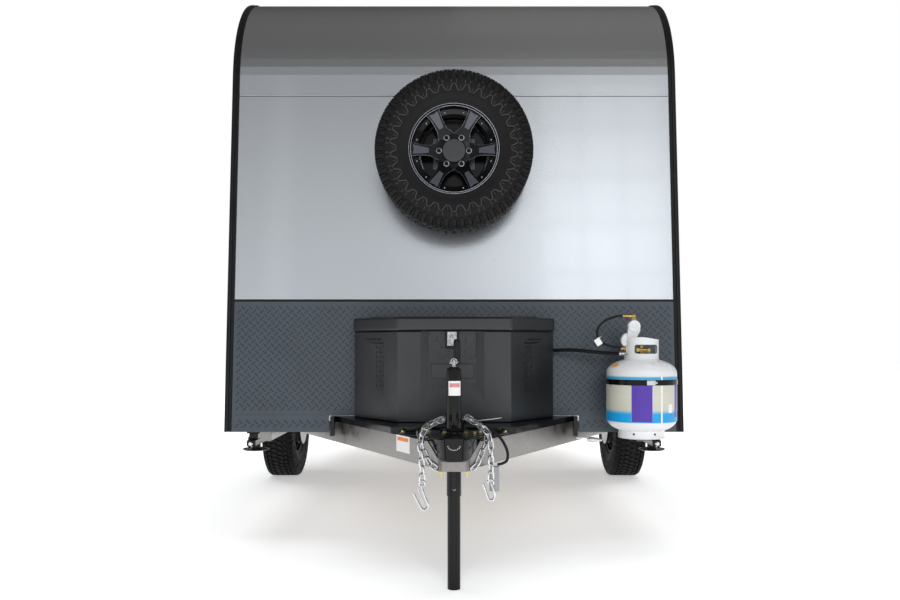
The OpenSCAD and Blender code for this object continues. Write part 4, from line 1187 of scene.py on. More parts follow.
# Shell, foot ring, and a collar with its openings.
shell = lathe("shell", arc_low + [(0.155, 0.186), (0.1558, 0.188), (0.155, 0.19)] + arc_top, BOTTLE,
              steps=96)
foot_ring = lathe("foot_ring", [(0.0995, 0.0015), (0.1015, 0.0), (0.1035, 0.0015), (0.1035, 0.0045),
                                (0.102, 0.007), (0.102, 0.04),
                                (0.105, 0.045), (0.101, 0.048), (0.0995, 0.04), (0.0995, 0.0015)], BOTTLE,
                  steps=96)
collar = lathe("collar", [(0.0735, 0.336), (0.0765, 0.336), (0.0765, 0.444), (0.0775, 0.4465),
                          (0.0765, 0.4485), (0.0745, 0.4485), (0.0735, 0.4465),
                          (0.0735, 0.336)], BOTTLE, steps=96)
window_cut = block("window_cut", (BX - 0.044, BY - 0.1, BZ + 0.3755), (BX + 0.06, BY - 0.02, BZ + 0.4155),
                   0.009, 4)
back_cut = block("back_cut", (BX - 0.1, BY - 0.036, BZ + 0.37), (BX - 0.04, BY + 0.045, BZ + 0.5), 0.006, 3)
slope_cut = slab("slope_cut", [(BX - 0.02, BY - 0.1, BZ + 0.45), (BX + 0.1, BY - 0.1, BZ + 0.434),
                               (BX + 0.1, BY - 0.1, BZ + 0.48), (BX - 0.02, BY - 0.1, BZ + 0.48)],
                 (0, 0, 0), (0, 0.2, 0))
rear_cut = block("rear_cut", (BX - 0.05, BY + 0.02, BZ + 0.37), (BX + 0.07, BY + 0.1, BZ + 0.425), 0.006, 2)
cut(collar, window_cut, back_cut, slope_cut, rear_cut)
smooth(outward(collar), 35)
collar_weld = lathe("collar_weld", [(0.0735, 0.342), (0.08, 0.3425), (0.0785, 0.346), (0.0765, 0.3475),
                                    (0.0735, 0.342)], BOTTLE, steps=72)
bung = lathe("bung", [(0, 0.352), (0.026, 0.352), (0.026, 0.36), (0.022, 0.364), (0, 0.364)], BOTTLE,
             steps=36)
fix(join("bottle_shell", [shell, foot_ring, collar, collar_weld, bung]), white_paint, ["gas_bottle"],
    "white_paint")
# Thin black discs on the foot ring stand in for its holes: painted shade, with no opening cut.
holes = []
for a in (-31, 22, 80, 140, 200, 260):
    s, c = math.sin(math.radians(a)), math.cos(math.radians(a))
    holes.append(lathe("hole", [(0, 0), (0.005, 0), (0.005, 0.0006), (0, 0.0006)],
                       (BX + 0.1018 * s, BY - 0.1018 * c, BZ + 0.022), (s, -c, 0), 16))
fix(join("foot_ring_painted_hole_shade", holes), black_trim, slot="white_paint")

# Brass: stem, outlet, elbow and hose ends.
valve = [
    lathe("stem", [(0, 0.36), (0.014, 0.36), (0.014, 0.372), (0.0115, 0.374), (0.0115, 0.412),
                   (0.009, 0.416), (0, 0.416)], BOTTLE, steps=28),
    rod("outlet", (BX + 0.026, BY - 0.002, BZ + 0.392), (BX - 0.03, BY - 0.002, BZ + 0.392), 0.0115, 24),
    lathe("hex", [(0, 0), (0.015, 0), (0.015, 0.016), (0, 0.016)], (BX - 0.012, BY - 0.002, BZ + 0.392),
          (-1, 0, 0), 6, 25),
    lathe("hex", [(0, 0), (0.0125, 0), (0.0125, 0.012), (0, 0.012)], (BX + 0.038, BY - 0.002, BZ + 0.392),
          (-1, 0, 0), 6, 25),
    rod("elbow_up", (BX - 0.034, BY, BZ + 0.524), (BX - 0.034, BY, BZ + 0.551), 0.0085, 20),
    lathe("elbow_hex", [(0, 0), (0.0125, 0), (0.0125, 0.01), (0, 0.01)], (BX - 0.034, BY, BZ + 0.526),
          (0, 0, 1), 6, 25),
    lathe("pigtail_end", [(0, -0.006), (0.008, -0.006), (0.008, 0.014), (0.0105, 0.0145), (0.0105, 0.024),
                          (0.0072, 0.025), (0.007, 0.048), (0.0062, 0.05), (0, 0.05)],
          (BX - 0.034, BY, BZ + 0.545), (-1, 0.06, 0.03), 24),
    lathe("pigtail_nut", [(0, 0), (0.0105, 0), (0.0105, 0.012), (0.0075, 0.013), (0.007, 0.026),
                          (0, 0.026)], (BX - 0.066, BY + 0.001, BZ + 0.3985), (-1, 0.03, 0), 24),
]
fix(join("bottle_valve_brass", valve), brass, ["bottle_valve"], "brass_fittings")
ferrule = lathe("hose_ferrule", [(0, 0), (0.012, 0), (0.012, 0.008), (0.0104, 0.009), (0.0104, 0.026),
                                 (0.0112, 0.027), (0.0112, 0.036), (0.0092, 0.038), (0, 0.038)],
                (BX - 0.062, BY + 0.007, BZ + 0.376), (-1, 0.12, 0), 28)
fix(ferrule, zinc, ["bottle_valve"], "zinc_steel")
handwheel_green = material("green_handwheel", (0.02, 0.22, 0.08), 0.4, mottled=(0.1, 60.0, 0.06),
                           grained=(500.0, 0.1, 0.0003))
spokes = [(0.0215 + 0.0022 * math.cos(math.radians(8 * a))) for a in range(0, 360, 6)]
wheel_ring = [(BX - 0.0365, BY - 0.002 + r * math.cos(math.radians(6 * i)),
               BZ + 0.392 + r * math.sin(math.radians(6 * i))) for i, r in enumerate(spokes)]
fix(slab("bottle_handwheel", wheel_ring, (0, 0, 0), (0.0105, 0, 0), 0.0012, 1), handwheel_green,
    slot="brass_fittings")

# Two-lobed regulator.
regulator = [
    lathe("upper_lobe", [(0, 0), (0.0225, 0), (0.0265, 0.003), (0.0285, 0.01), (0.0285, 0.03),
                         (0.0265, 0.037), (0.0225, 0.04), (0, 0.041)],
          (BX - 0.034, BY + 0.02, BZ + 0.498), (0, -1, 0), 48),
    lathe("lower_lobe", [(0, 0), (0.03, 0), (0.035, 0.004), (0.037, 0.012), (0.037, 0.022), (0.035, 0.03),
                         (0.03, 0.034), (0.01, 0.036), (0, 0.036)],
          (BX - 0.053, BY + 0.034, BZ + 0.434), (0, -1, 0), 56),
    slab("web", [(BX - 0.063, BY - 0.012, BZ + 0.44), (BX - 0.03, BY - 0.012, BZ + 0.432),
                 (BX - 0.006, BY - 0.012, BZ + 0.478), (BX - 0.006, BY - 0.012, BZ + 0.502),
                 (BX - 0.062, BY - 0.012, BZ + 0.502)], CENTRE, (0, 0.026, 0), 0.004, 3),
    rod("vent", (BX - 0.034, BY - 0.02, BZ + 0.498), (BX - 0.034, BY - 0.0235, BZ + 0.498), 0.012, 28),
    block("inlet", (BX - 0.07, BY - 0.01, BZ + 0.372), (BX - 0.044, BY + 0.014, BZ + 0.412), 0.003, 2),
]
fix(join("gas_regulator", regulator), white_paint, ["bottle_valve"], "white_paint")
tag = block("hose_tag", (-0.0135, -0.0008, -0.016), (0.0135, 0.0008, 0.016), 0.0006, 1)
tag.data.transform(Matrix.Translation((BX - 0.19, BY + 0.018,
                                       BZ + 0.428)) @ Matrix.Rotation(math.radians(-33), 4, "Y"))
tag_loop = round_bar("tag_loop", [(BX - 0.1845 + 0.0085 * math.cos(math.radians(a)),
                                   BY + 0.026 + 0.006 * math.sin(math.radians(a)),
                                   BZ + 0.448 + 0.003 * math.cos(math.radians(a)))
                                  for a in range(0, 361, 30)], 0.0012, 6)
fix(join("hose_tag", [tag, tag_loop]), label_white, slot="white_plastic")

# Printed wrap, in plain bands of colour.
wrap_print = material("bottle_wrap_print", (0.6, 0.6, 0.52), 0.35)
up_z = add(wrap_print, "SeparateXYZ", Vector=add(wrap_print, "TexCoord").outputs["Object"])
height = add(wrap_print, "MapRange", Value=up_z.outputs["Z"], From_Min=0.604, From_Max=0.805)
bands = add(wrap_print, "ValToRGB", Fac=height.outputs["Result"])
ramp = bands.color_ramp
ramp.elements[0].color = (0.005, 0.33, 0.72, 1)
ramp.elements[1].position = 1.0
ramp.elements[1].color = (0.5, 0.62, 0.66, 1)
for at, colour in ((0.19, (0.006, 0.34, 0.73, 1)), (0.27, (0.56, 0.57, 0.48, 1)),
                   (0.5, (0.6, 0.59, 0.5, 1)), (0.905, (0.56, 0.57, 0.5, 1)),
                   (0.925, (0.06, 0.36, 0.62, 1)), (0.975, (0.05, 0.34, 0.6, 1))):
    ramp.elements.new(at).color = colour
fleck = add(wrap_print, "TexNoise", Vector=coords(wrap_print), Scale=26.0, Detail=4.0)
blend = add(wrap_print, "Mix", {"data_type": "RGBA", "blend_type": "MULTIPLY"})
blend.inputs[0].default_value = 0.35
wire(wrap_print, bands.outputs["Color"], blend.inputs[6])
soft_ramp = add(wrap_print, "ValToRGB", Fac=fleck.outputs["Fac"])
soft_ramp.color_ramp.elements[0].color = (0.8, 0.8, 0.8, 1)
soft_ramp.color_ramp.elements[1].color = (1, 1, 1, 1)
wire(wrap_print, soft_ramp.outputs["Color"], blend.inputs[7])
wire(wrap_print, blend.outputs[2], shader(wrap_print).inputs["Base Color"])
grain(wrap_print, 60.0, 0.12, 0.0008)
purple = material("purple_card", (0.075, 0.03, 0.34), 0.35, mottled=(0.06, 30.0, 0.05),
                  grained=(60.0, 0.08, 0.0006))
lilac = material("purple_card_edge", (0.2, 0.16, 0.58), 0.35, mottled=(0.06, 30.0, 0.05),
                 grained=(60.0, 0.05, 0.0004))
fix(patch("bottle_wrap", BX, BY, 0.1552, -118, 118, 0.604, 0.805, 0.0004, 72), wrap_print,
    slot="white_paint")
fix(patch("bottle_wrap_seam", BX, BY, 0.1556, 19.6, 22.6, 0.604, 0.805, 0.0003, 4), label_white,
    slot="white_paint")
fix(patch("bottle_card_edge", BX, BY, 0.1557, -28.3, 5.0, 0.607, 0.779, 0.0004, 20), lilac,
    slot="white_paint")
fix(patch("bottle_card", BX, BY, 0.1561, -27.4, 4.2, 0.609, 0.777, 0.0003, 20), purple, slot="white_paint")
fix(patch("bottle_side_card", BX, BY, 0.1557, 53, 66, 0.624, 0.79, 0.0004, 8), purple, slot="white_paint")
fix(patch("bottle_blank_box", BX, BY, 0.1557, 35, 45, 0.646, 0.683, 0.0003, 8), label_white,
    slot="white_paint")
amber = material("amber_label", (0.72, 0.36, 0.03), 0.4, mottled=(0.08, 60.0, 0.05),
                 grained=(300.0, 0.05, 0.0003))
sticker = block("shoulder_label", (-0.021, -0.011, -0.0003), (0.021, 0.011, 0.0004), 0.0, 1)
heading = Vector((-0.126 / 0.155 ** 2, -0.046 / 0.155 ** 2, 0.033 / 0.066 ** 2)).normalized()
sticker.data.transform(Matrix.Translation((BX - 0.1266, BY - 0.0463, BZ + 0.3254)) @ aim(heading))
fix(sticker, amber, slot="white_paint")

# Strap round the bottle and the shelf under it.
strap = lathe("strap", [(0.1568, 0.2392), (0.1584, 0.2396), (0.1584, 0.2622), (0.1568, 0.2628),
                        (0.1568, 0.2392)], BOTTLE, steps=96)
strap_back = block("strap_back", (BX - 0.06, BY + 0.125, BZ + 0.24), (BX + 0.06, BY + 0.212, BZ + 0.262),
                   0.002, 1)
shelf = block("bottle_shelf", (BX - 0.06, BY - 0.06, BZ - 0.008), (BX + 0.03, -1.334, BZ - 0.0005), 0.0015,
              1)
riser = block("bottle_riser", (BX - 0.06, -1.344, BZ - 0.008), (BX + 0.03, -1.334, 0.581), 0.0015, 1)
fix(join("bottle_carrier", [strap, strap_back, shelf, riser]), black_steel, ["bottle_bracket"],
    "black_steel")
buckle = [patch("buckle", BX, BY, 0.1584, -4, 9, 0.768, 0.788, 0.0026, 6),
          patch("buckle_bar", BX, BY, 0.1606, -1, 12, 0.774, 0.782, 0.002, 6)]
fix(join("strap_buckle", buckle), zinc, slot="zinc_steel")

# ---------------------------------------------------------------- body edges, seams and tread plate
def body_line():
    """Side outline of the body with its outward normals, from the front foot over the roof."""
    nz = ROOF_Z - NOSE_R
    ny = WALL_Y + (NOSE_R + (nz - PLATE_FOOT) * math.sin(LEAN)) / math.cos(LEAN)
    out = [(Vector((0, WALL_Y, PLATE_FOOT)), Vector((0, -math.cos(LEAN), math.sin(LEAN))))]
    for k in range(0, 25):
        a = math.radians(180) - LEAN - k * (math.pi / 2 - LEAN) / 24
        n = Vector((0, math.cos(a), math.sin(a)))
        out.append((Vector((0, ny, nz)) + NOSE_R * n, n))
    for k in range(0, 17):
        a = math.pi / 2 * (1 - k / 16)
        n = Vector((0, math.cos(a), math.sin(a)))
        out.append((Vector((0, REAR_Y - TAIL_R, ROOF_Z - TAIL_R)) + TAIL_R * n, n))
    out.append((Vector((0, REAR_Y, PLATE_FOOT)), Vector((0, 1, 0))))
    return out


# Corner extrusion: its section is swept along the side outline.
section = [(1.0502, 0.0002), (1.0502, 0.003), (1.0535, 0.0054), (1.059, 0.0054), (1.0615, 0.0022),
           (1.065, 0.0022), (1.068, 0.0058),
           (1.0745, 0.006), (1.08, 0.0058), (1.084, 0.0042), (1.0858, 0.0005), (1.0858, -0.0222),
           (1.0835, -0.0238), (1.0803, -0.0238), (1.0803, 0.0002)]
trim = sweep("edge_extrusion", [[(x, p.y + n.y * o, p.z + n.z * o) for x, o in section] for p,
                                n in body_line()], 25)
fix(join("edge_extrusions", [trim, mirrored(trim)]), black_trim, ["edge_trims"], "black_trim")


def on_wall(name, x0, x1, z0, z1, back, proud):
    """Flat strip on the leaning front wall."""
    pts = [(x0, wall_y(z0, back), z0), (x0, wall_y(z0, proud), z0), (x0, wall_y(z1, proud), z1),
           (x0, wall_y(z1, back), z1)]
    return slab(name, pts, (0, 0, 0), (x1 - x0, 0, 0), 0.0006, 1)


fix(on_wall("front_lap", -1.0498, 1.0498, 2.16, 2.172, -0.001, 0.0014), silver, slot="silver_skin")
# Thin black strip under the lap: a painted shadow line below the nose panel's edge.
fix(on_wall("lap_painted_shadow", -1.0498, 1.0498, 2.157, 2.16, -0.001, 0.0006), black_trim, slot="silver_skin")
for x0, x1 in ((0.592, 1.0495), (-1.0495, -0.592)):
    fix(on_wall("plate_lap", x0, x1, 0.6, 0.612, -0.001, 0.0036), charcoal, slot="tread_plate")
strips = [on_wall("plate_cap", -1.0498, 1.0498, 1.148, 1.159, -0.001, 0.0055)]
for sx in (1, -1):
    x = (1.079, 1.0855) if sx > 0 else (-1.0855, -1.079)
    strips.append(block("plate_cap", (x[0], -1.31, 1.148), (x[1], -0.632 if sx < 0 else 2.242, 1.159),
                        0.001, 1))
    if sx < 0:
        strips.append(block("plate_cap", (x[0], 0.032, 1.148), (x[1], 2.242, 1.159), 0.001, 1))
for x0, x1 in ((-1.049, -0.414), (0.414, 1.049)):
    strips.append(block("plate_cap", (x0, 2.269, 1.148), (x1, 2.2755, 1.159), 0.001, 1))
fix(join("plate_caps", strips), black_trim, slot="black_trim")


def tread_field(u0, u1, v0, v1):
    """Bars of tread plate filling a rectangle that looks to -Y."""
    cols, rows = int((u1 - u0 - 0.008) / TREAD_PITCH), int((v1 - v0 - 0.008) / TREAD_PITCH)
    u = (u0 + u1 - cols * TREAD_PITCH) / 2 + TREAD_PITCH / 4
    v = (v0 + v1 - rows * TREAD_PITCH) / 2 + TREAD_PITCH / 4
    o = join("bars", [bar_at(u, 0, v, 45, 0.0136, 0.0026, 0.0014),
                      bar_at(u + TREAD_PITCH / 2, 0, v + TREAD_PITCH / 2, -45, 0.0136, 0.0026, 0.0014)])
    pick(o)
    for count, step in ((cols, (TREAD_PITCH, 0, 0)), (rows, (0, 0, TREAD_PITCH))):
        m = o.modifiers.new("row", "ARRAY")
        m.use_relative_offset = False
        m.use_constant_offset = True
        m.constant_offset_displace = step
        m.count = count
        bpy.ops.object.modifier_apply(modifier=m.name)
    return o


# Fields of raised bars on the front, both sides, the back and the two doors.
lean_back = (Matrix.Translation((0, WALL_Y, PLATE_FOOT)) @ Matrix.Rotation(-LEAN, 4, "X")
             @ Matrix.Translation((0, -0.003, -PLATE_FOOT)))
front_fields = [tread_field(-1.046, 1.046, 0.611, 1.148), tread_field(0.595, 1.046, 0.532, 0.604),
                tread_field(-1.046, -0.595, 0.532, 0.604)]
fix(join("front_tread_bars", turn_all(front_fields, lean_back)), bar_painted_shade, slot="tread_plate")
wedges = []
for x0, x1 in ((1.0795, 1.083), (-1.083, -1.0795)):
    wedges.append(slab("wedge", [(x0, wall_y(0.532) + 0.021, 0.532), (x0, -1.303, 0.532),
                                 (x0, -1.303, 1.15), (x0, wall_y(1.15) + 0.021, 1.15)],
                       (0, 0, 0), (x1 - x0, 0, 0)))
fix(join("side_plate_ends", wedges), charcoal, slot="tread_plate")
street = tread_field(-1.262, 2.24, 0.534, 1.147)
street.data.transform(street_face(PLATE_X))
fix(street, bar_painted_shade, slot="tread_plate")
street.name = "street_tread_bars"
kerb = [tread_field(0.634, 1.262, 0.534, 1.147), tread_field(-2.24, -0.034, 0.534, 1.147),
        tread_field(-0.034, 0.634, 0.534, 0.609)]
fix(join("kerb_tread_bars", turn_all(kerb, kerb_face(-PLATE_X))), bar_painted_shade, slot="tread_plate")
rear = [tread_field(-1.046, -0.414, 0.534, 1.147), tread_field(0.414, 1.046, 0.534, 1.147),
        tread_field(-0.414, 0.414, 0.534, 0.609)]
fix(join("rear_tread_bars", turn_all(rear, rear_face(REAR_PLATE_Y))), bar_painted_shade, slot="tread_plate")
door_skin = block("door_skin", (-1.083, -0.623, 0.619), (-1.08, 0.023, 1.151), 0.0008, 1)
door_bars = tread_field(-0.018, 0.618, 0.624, 1.144)
door_bars.data.transform(kerb_face(-PLATE_X))
place(door_skin, "entry_door", charcoal, slot="tread_plate")
place(door_bars, "entry_door", bar_painted_shade, slot="tread_plate")
door_bars.name = "door_tread_bars"
place(block("door_skin_cap", (-1.085, -0.623, 1.148), (-1.0798, 0.023, 1.159), 0.001, 1), "entry_door",
      black_trim, slot="black_trim")

# ---------------------------------------------------------------- drawbar labels
def on_drawbar(name, s, z0, z1, wide, out=0.0006):
    """Thin label on the outer face of the -X drawbar tube, s metres ahead of the front wall."""
    lead = Vector((math.sin(FRAME_ANGLE), -math.cos(FRAME_ANGLE), 0))
    face = Vector((-math.cos(FRAME_ANGLE), -math.sin(FRAME_ANGLE), 0))
    mid = Vector((-DRAWBAR_X, WALL_Y, 0)) + lead * s
    a, b = mid - lead * wide / 2, mid + lead * wide / 2
    return slab(name, [(a.x, a.y, z0), (b.x, b.y, z0), (b.x, b.y, z1), (a.x, a.y, z1)], (0, 0, 0),
                face * out)


orange_print = material("orange_print", (0.8, 0.2, 0.02), 0.4, mottled=(0.06, 60.0, 0.05),
                        grained=(300.0, 0.05, 0.0003))
fix(on_drawbar("drawbar_label", 0.683, 0.512, 0.578, 0.118), label_white, slot="white_paint")
fix(on_drawbar("drawbar_label_bar", 0.683, 0.556, 0.571, 0.098, 0.0009), orange_print, slot="white_paint")
fix(on_drawbar("drawbar_plate", 0.79, 0.512, 0.56, 0.068, 0.0008), aluminium, slot="mill_aluminium")

# ---------------------------------------------------------------- drawbar
def drawbar_side():
    """The A-frame's tube on the street side, cut square at the coupler."""
    tube_bar = block("tube", (-0.0508, -1.1, 0), (0, 0.56, 0.1016), 0.005, 3)
    tube_bar.data.transform(Matrix.Translation((DRAWBAR_X, WALL_Y,
                                                0.4794)) @ Matrix.Rotation(-FRAME_ANGLE, 4, "Z"))
    cut(tube_bar, block("ahead", (-0.4, WALL_Y - 1.3, 0.4), (0.4, TIP + 0.132, 0.7)))
    return smooth(outward(tube_bar), 30)


plate_line = [(-0.058, TIP + 0.131), (-0.058, TIP + 0.104), (-0.044, TIP + 0.09), (0.044, TIP + 0.09),
              (0.058, TIP + 0.104), (0.058, TIP + 0.131)]
end_plate = slab("end_plate", [(x, y, 0.4714) for x, y in plate_line], CENTRE, (0, 0, 0.046), 0.0025, 2)
right_bar = drawbar_side()
fix(join("drawbar_tubes", [right_bar, mirrored(right_bar), end_plate]), aluminium, ["drawbar"],
    "mill_aluminium")
# A bead of weld along the end plate.
weld = []
for k in range(24):
    t = k / 23
    weld.append(lathe("bead", [(0, -0.0028), (0.0032, -0.0016), (0.004, 0), (0.0032, 0.0016), (0, 0.0028)],
                      (-0.056 + 0.112 * t, TIP + 0.1315, 0.5175), (1, 0, 0.2), 8))
fix(join("drawbar_weld", weld), aluminium, slot="mill_aluminium")

# ---------------------------------------------------------------- gas fitting under the front wall
fitting = [rod("body", (0.64, -1.312, 0.486), (0.695, -1.312, 0.484), 0.0105, 24, 0.002),
           rod("sleeve", (0.652, -1.312, 0.4856), (0.676, -1.312, 0.4848), 0.0128, 28, 0.0015),
           block("bracket", (0.588, -1.318, 0.49), (0.65, -1.306, 0.496), 0.001, 1),
           rod("tip", (0.695, -1.312, 0.484), (0.712, -1.312, 0.4834), 0.007, 20)]
fix(join("gas_quick_connect", fitting), zinc, slot="zinc_steel")

# ---------------------------------------------------------------- corner stabilizers
stays, screws = [], []
for y in (WALL_Y + 0.28, 1.94):
    stays.append(lathe("pad", [(0, 0), (0.058, 0), (0.064, 0.0025), (0.066, 0.006), (0.0655, 0.008),
                               (0.062, 0.0085), (0.057, 0.0055), (0.024, 0.0055),
                               (0.022, 0.01), (0.022, 0.03), (0, 0.03)], (1.0, y, 0.41), steps=56))
    stays.append(block("channel", (0.978, y - 0.11, 0.44), (1.022, y + 0.11, 0.47), 0.003, 2))
    stays.append(block("saddle", (0.978, y - 0.06, 0.47), (1.022, y + 0.06, 0.5), 0.003, 2))
    stays.append(block("mount", (0.931, y - 0.075, 0.5), (1.03, y + 0.075, 0.52), 0.002, 2))
    for s in (-1, 1):
        arm = block("arm", (-0.004, 0, -0.01), (0.004, 0.112, 0.01), 0.002, 1)
        lean_by = Matrix.Rotation(math.radians(90 - s * 66), 4, "X")
        arm.data.transform(Matrix.Translation((1.0252, y,
                                               0.452)) @ lean_by @ Matrix.Translation((0, -0.056, 0)))
        stays.append(arm)
    screws.append(rod("screw", (1.0, y - 0.128, 0.455), (1.0, y + 0.128, 0.455), 0.0085, 20))
    for k in range(14):
        screws.append(lathe("thread", [(0.0083, -0.0014), (0.0098, 0), (0.0083, 0.0014), (0.0083, -0.0014)],
                            (1.0, y - 0.112 - 0.001 * k, 0.455), (0, 1, 0.05), 16))
    screws.append(bolt("pivot", (1.026, y, 0.455), (1, 0, 0), 0.009, 0.006, 0.013))
stays = join("stays", stays)
screws = join("screws", screws)
fix(join("stabilizer_legs", [stays, mirrored(stays)]), black_steel, ["stabilizers"], "black_steel")
fix(join("stabilizer_screws", [screws, mirrored(screws)]), zinc, ["stabilizers"], "zinc_steel")

# ---------------------------------------------------------------- spare wheel carrier
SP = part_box("spare_rim")
SPY = (SP[0].y + SP[1].y) / 2
SPZ = (SP[0].z + SP[1].z) / 2
carrier = [
    lathe("disc", [(0, 0), (0.082, 0), (0.084, 0.002), (0.084, 0.008), (0.082, 0.01), (0, 0.01)],
          (0, SPY, SPZ), (0, 1, 0), 56),
    lathe("post", [(0, 0), (0.04, 0), (0.04, 0.17), (0, 0.17)], (0, SPY + 0.009, SPZ), (0, 1, 0), 40),
    lathe("splash_disc", [(0.0, 0.0), (0.15, 0.0), (0.1545, 0.002), (0.1545, 0.004), (0.15, 0.006),
                          (0.0, 0.006)], (0, SPY + 0.036, SPZ), (0, 1, 0), 72),
]
fix(join("spare_mount", carrier), black_steel, ["spare_carrier"], "black_steel")
plate = block("spare_plate", (-0.098, SPY + 0.0275, SPZ - 0.073), (0.098, SPY + 0.0345, SPZ + 0.073), 0.003,
              2)
fix(plate, dull_grey, slot="black_steel")


# ---------------------------------------------------------------- windows and doors
def rounded(u0, u1, v0, v1, r, n=6):
    """Rectangle with round corners, as (across, up) pairs."""
    out = []
    for cx, cy, a0 in ((u1 - r, v1 - r, 0), (u0 + r, v1 - r, 90), (u0 + r, v0 + r, 180),
                       (u1 - r, v0 + r, 270)):
        for k in range(n + 1):
            a = math.radians(a0 + 90 * k / n)
            out.append((cx + r * math.cos(a), cy + r * math.sin(a)))
    return out


def ring(name, outer_line, inner_line, back, front, round_by=0.0015):
    """Flat ring that looks to -Y, between two outlines."""
    o = slab(name, [(u, back, v) for u, v in outer_line], CENTRE, (0, front - back, 0), round_by, 2)
    t = slab("t", [(u, back + 0.05, v) for u, v in inner_line], CENTRE, (0, front - back - 0.1, 0))
    cut(o, t)
    return smooth(outward(o), 35)


def window_set(u0, u1, v0, v1, r=0.06):
    """Frame with its inner ring, and the panes with their rubber, all looking to -Y on a wall at Y 0."""
    frame_ring = ring("frame", rounded(u0 - 0.028, u1 + 0.028, v0 - 0.028, v1 + 0.028, r + 0.02),
                      rounded(u0 + 0.004, u1 - 0.004, v0 + 0.004, v1 - 0.004, r), 0.0, -0.0052, 0.002)
    lip = ring("lip", rounded(u0 - 0.006, u1 + 0.006, v0 - 0.006, v1 + 0.006, r),
               rounded(u0 + 0.01, u1 - 0.01, v0 + 0.01, v1 - 0.01, r - 0.006), 0.004, -0.0066, 0.0015)
    mid = (u0 + u1) / 2
    bar = block("bar", (mid - 0.014, -0.001, v0 + 0.006), (mid + 0.014, 0.012, v1 - 0.006), 0.002, 2)
    sill = block("weep", (u0 + 0.05, -0.0066, v0 - 0.0185), (u0 + 0.09, -0.005, v0 - 0.0145), 0.0006, 1)
    panes = [slab("pane", [(u, 0.012, v) for u, v in rounded(u0 + 0.001, u1 - 0.001, v0 + 0.001, v1 - 0.001,
                                                             r - 0.01)], CENTRE, (0, -0.006, 0), 0.0008, 1)]
    return [frame_ring, lip, bar, sill], panes


trims, panes = window_set(-0.22, 0.53, 1.38, 1.85)
turn_all(trims + panes, street_face(SIDE_X))
more, glass = window_set(-1.13, -0.43, 1.38, 1.85)
turn_all(more + glass, kerb_face(-SIDE_X))
fix(join("window_frames", trims + more), black_trim, slot="black_trim")
fix(join("window_panes", panes + glass), glass_dark, ["side_windows"], "tinted_glass")

trims, glass = window_set(0.09, 0.51, 1.612, 2.062, 0.05)
turn_all(trims + glass, kerb_face(-SIDE_X))
place(join("door_window_frame", trims), "entry_door", black_trim, slot="black_trim")
place(join("door_pane", glass), "entry_door", glass_dark, ["door_glass"], "tinted_glass")

# Entry door: jamb, grab rail, lock and inner rail.
jamb = ring("jamb", rounded(-0.054, 0.654, 0.588, 2.356, 0.022),
            rounded(-0.03, 0.63, 0.612, 2.332, 0.004, 1), 0.0, -0.0055, 0.0015)
jamb.data.transform(kerb_face(-SIDE_X))
rail = [round_bar("grab_rail", route([(-1.0825, 0.115, 1.02), (-1.108, 0.115, 1.03), (-1.118, 0.115, 1.06),
                                      (-1.118, 0.115, 1.34), (-1.108, 0.115, 1.37), (-1.0825, 0.115, 1.38)],
                                     5), 0.0095, 14)]
rail += [lathe("foot", [(0, 0), (0.02, 0), (0.02, 0.003), (0.014, 0.006), (0, 0.006)], (-1.083, 0.115, z),
               (-1, 0, 0), 28) for z in (1.02, 1.38)]
fix(join("entry_jamb", [jamb] + rail), black_trim, slot="black_trim")
lock_set = [block("lock_plate", (-1.0868, -0.096, 1.285), (-1.0798, -0.018, 1.435), 0.004, 3),
            block("paddle", (-1.0945, -0.086, 1.352), (-1.086, -0.03, 1.418), 0.004, 3),
            lathe("key", [(0, 0), (0.013, 0), (0.013, 0.004), (0.01, 0.006), (0.0, 0.006)],
                  (-1.0862, -0.057, 1.318), (-1, 0, 0), 28)]
place(join("entry_lock", lock_set), "entry_door", black_trim, slot="black_trim")
inner_rail = block("door_inner_rail", (-1.04, -0.6, 1.0), (-1.033, 0.0, 1.03), 0.003, 2)
place(inner_rail, "entry_door", aluminium, slot="mill_aluminium")

# Rear door: jamb, thumb latches and its plate.
frame_rear = ring("rear_jamb", rounded(-0.434, 0.434, 0.588, 1.756, 0.022),
                  rounded(-0.41, 0.41, 0.612, 1.732, 0.004, 1), 0.0, -0.0055, 0.0015)
frame_rear.data.transform(rear_face(REAR_Y))
fix(frame_rear, black_trim, slot="black_trim")
latches = []
for z in (0.86, 1.5):
    latches.append(lathe("thumb_latch", [(0, 0), (0.034, 0), (0.036, 0.002), (0.036, 0.005), (0.031, 0.008),
                                         (0.012, 0.009), (0.011, 0.006), (0, 0.006)], (-0.345, 2.2695, z),
                         (0, 1, 0), 48))
    latches.append(block("thumb_bar", (-0.351, 2.274, z - 0.027), (-0.339, 2.283, z + 0.027), 0.002, 2))
place(join("rear_latches", latches), "rear_door", black_trim, slot="black_trim")
rear_skin = block("rear_skin", (-0.4, 2.2695, 0.622), (0.4, 2.2725, 1.151), 0.0008, 1)
rear_bars = tread_field(-0.395, 0.395, 0.628, 1.144)
rear_bars.data.transform(rear_face(REAR_PLATE_Y))
lip = block("lip", (-0.4, 2.2695, 1.148), (0.4, 2.275, 1.159), 0.001, 1)
place(rear_skin, "rear_door", charcoal, slot="tread_plate")
place(rear_bars, "rear_door", bar_painted_shade, slot="tread_plate")
rear_bars.name = "rear_door_bars"
place(lip, "rear_door", black_trim, slot="black_trim")

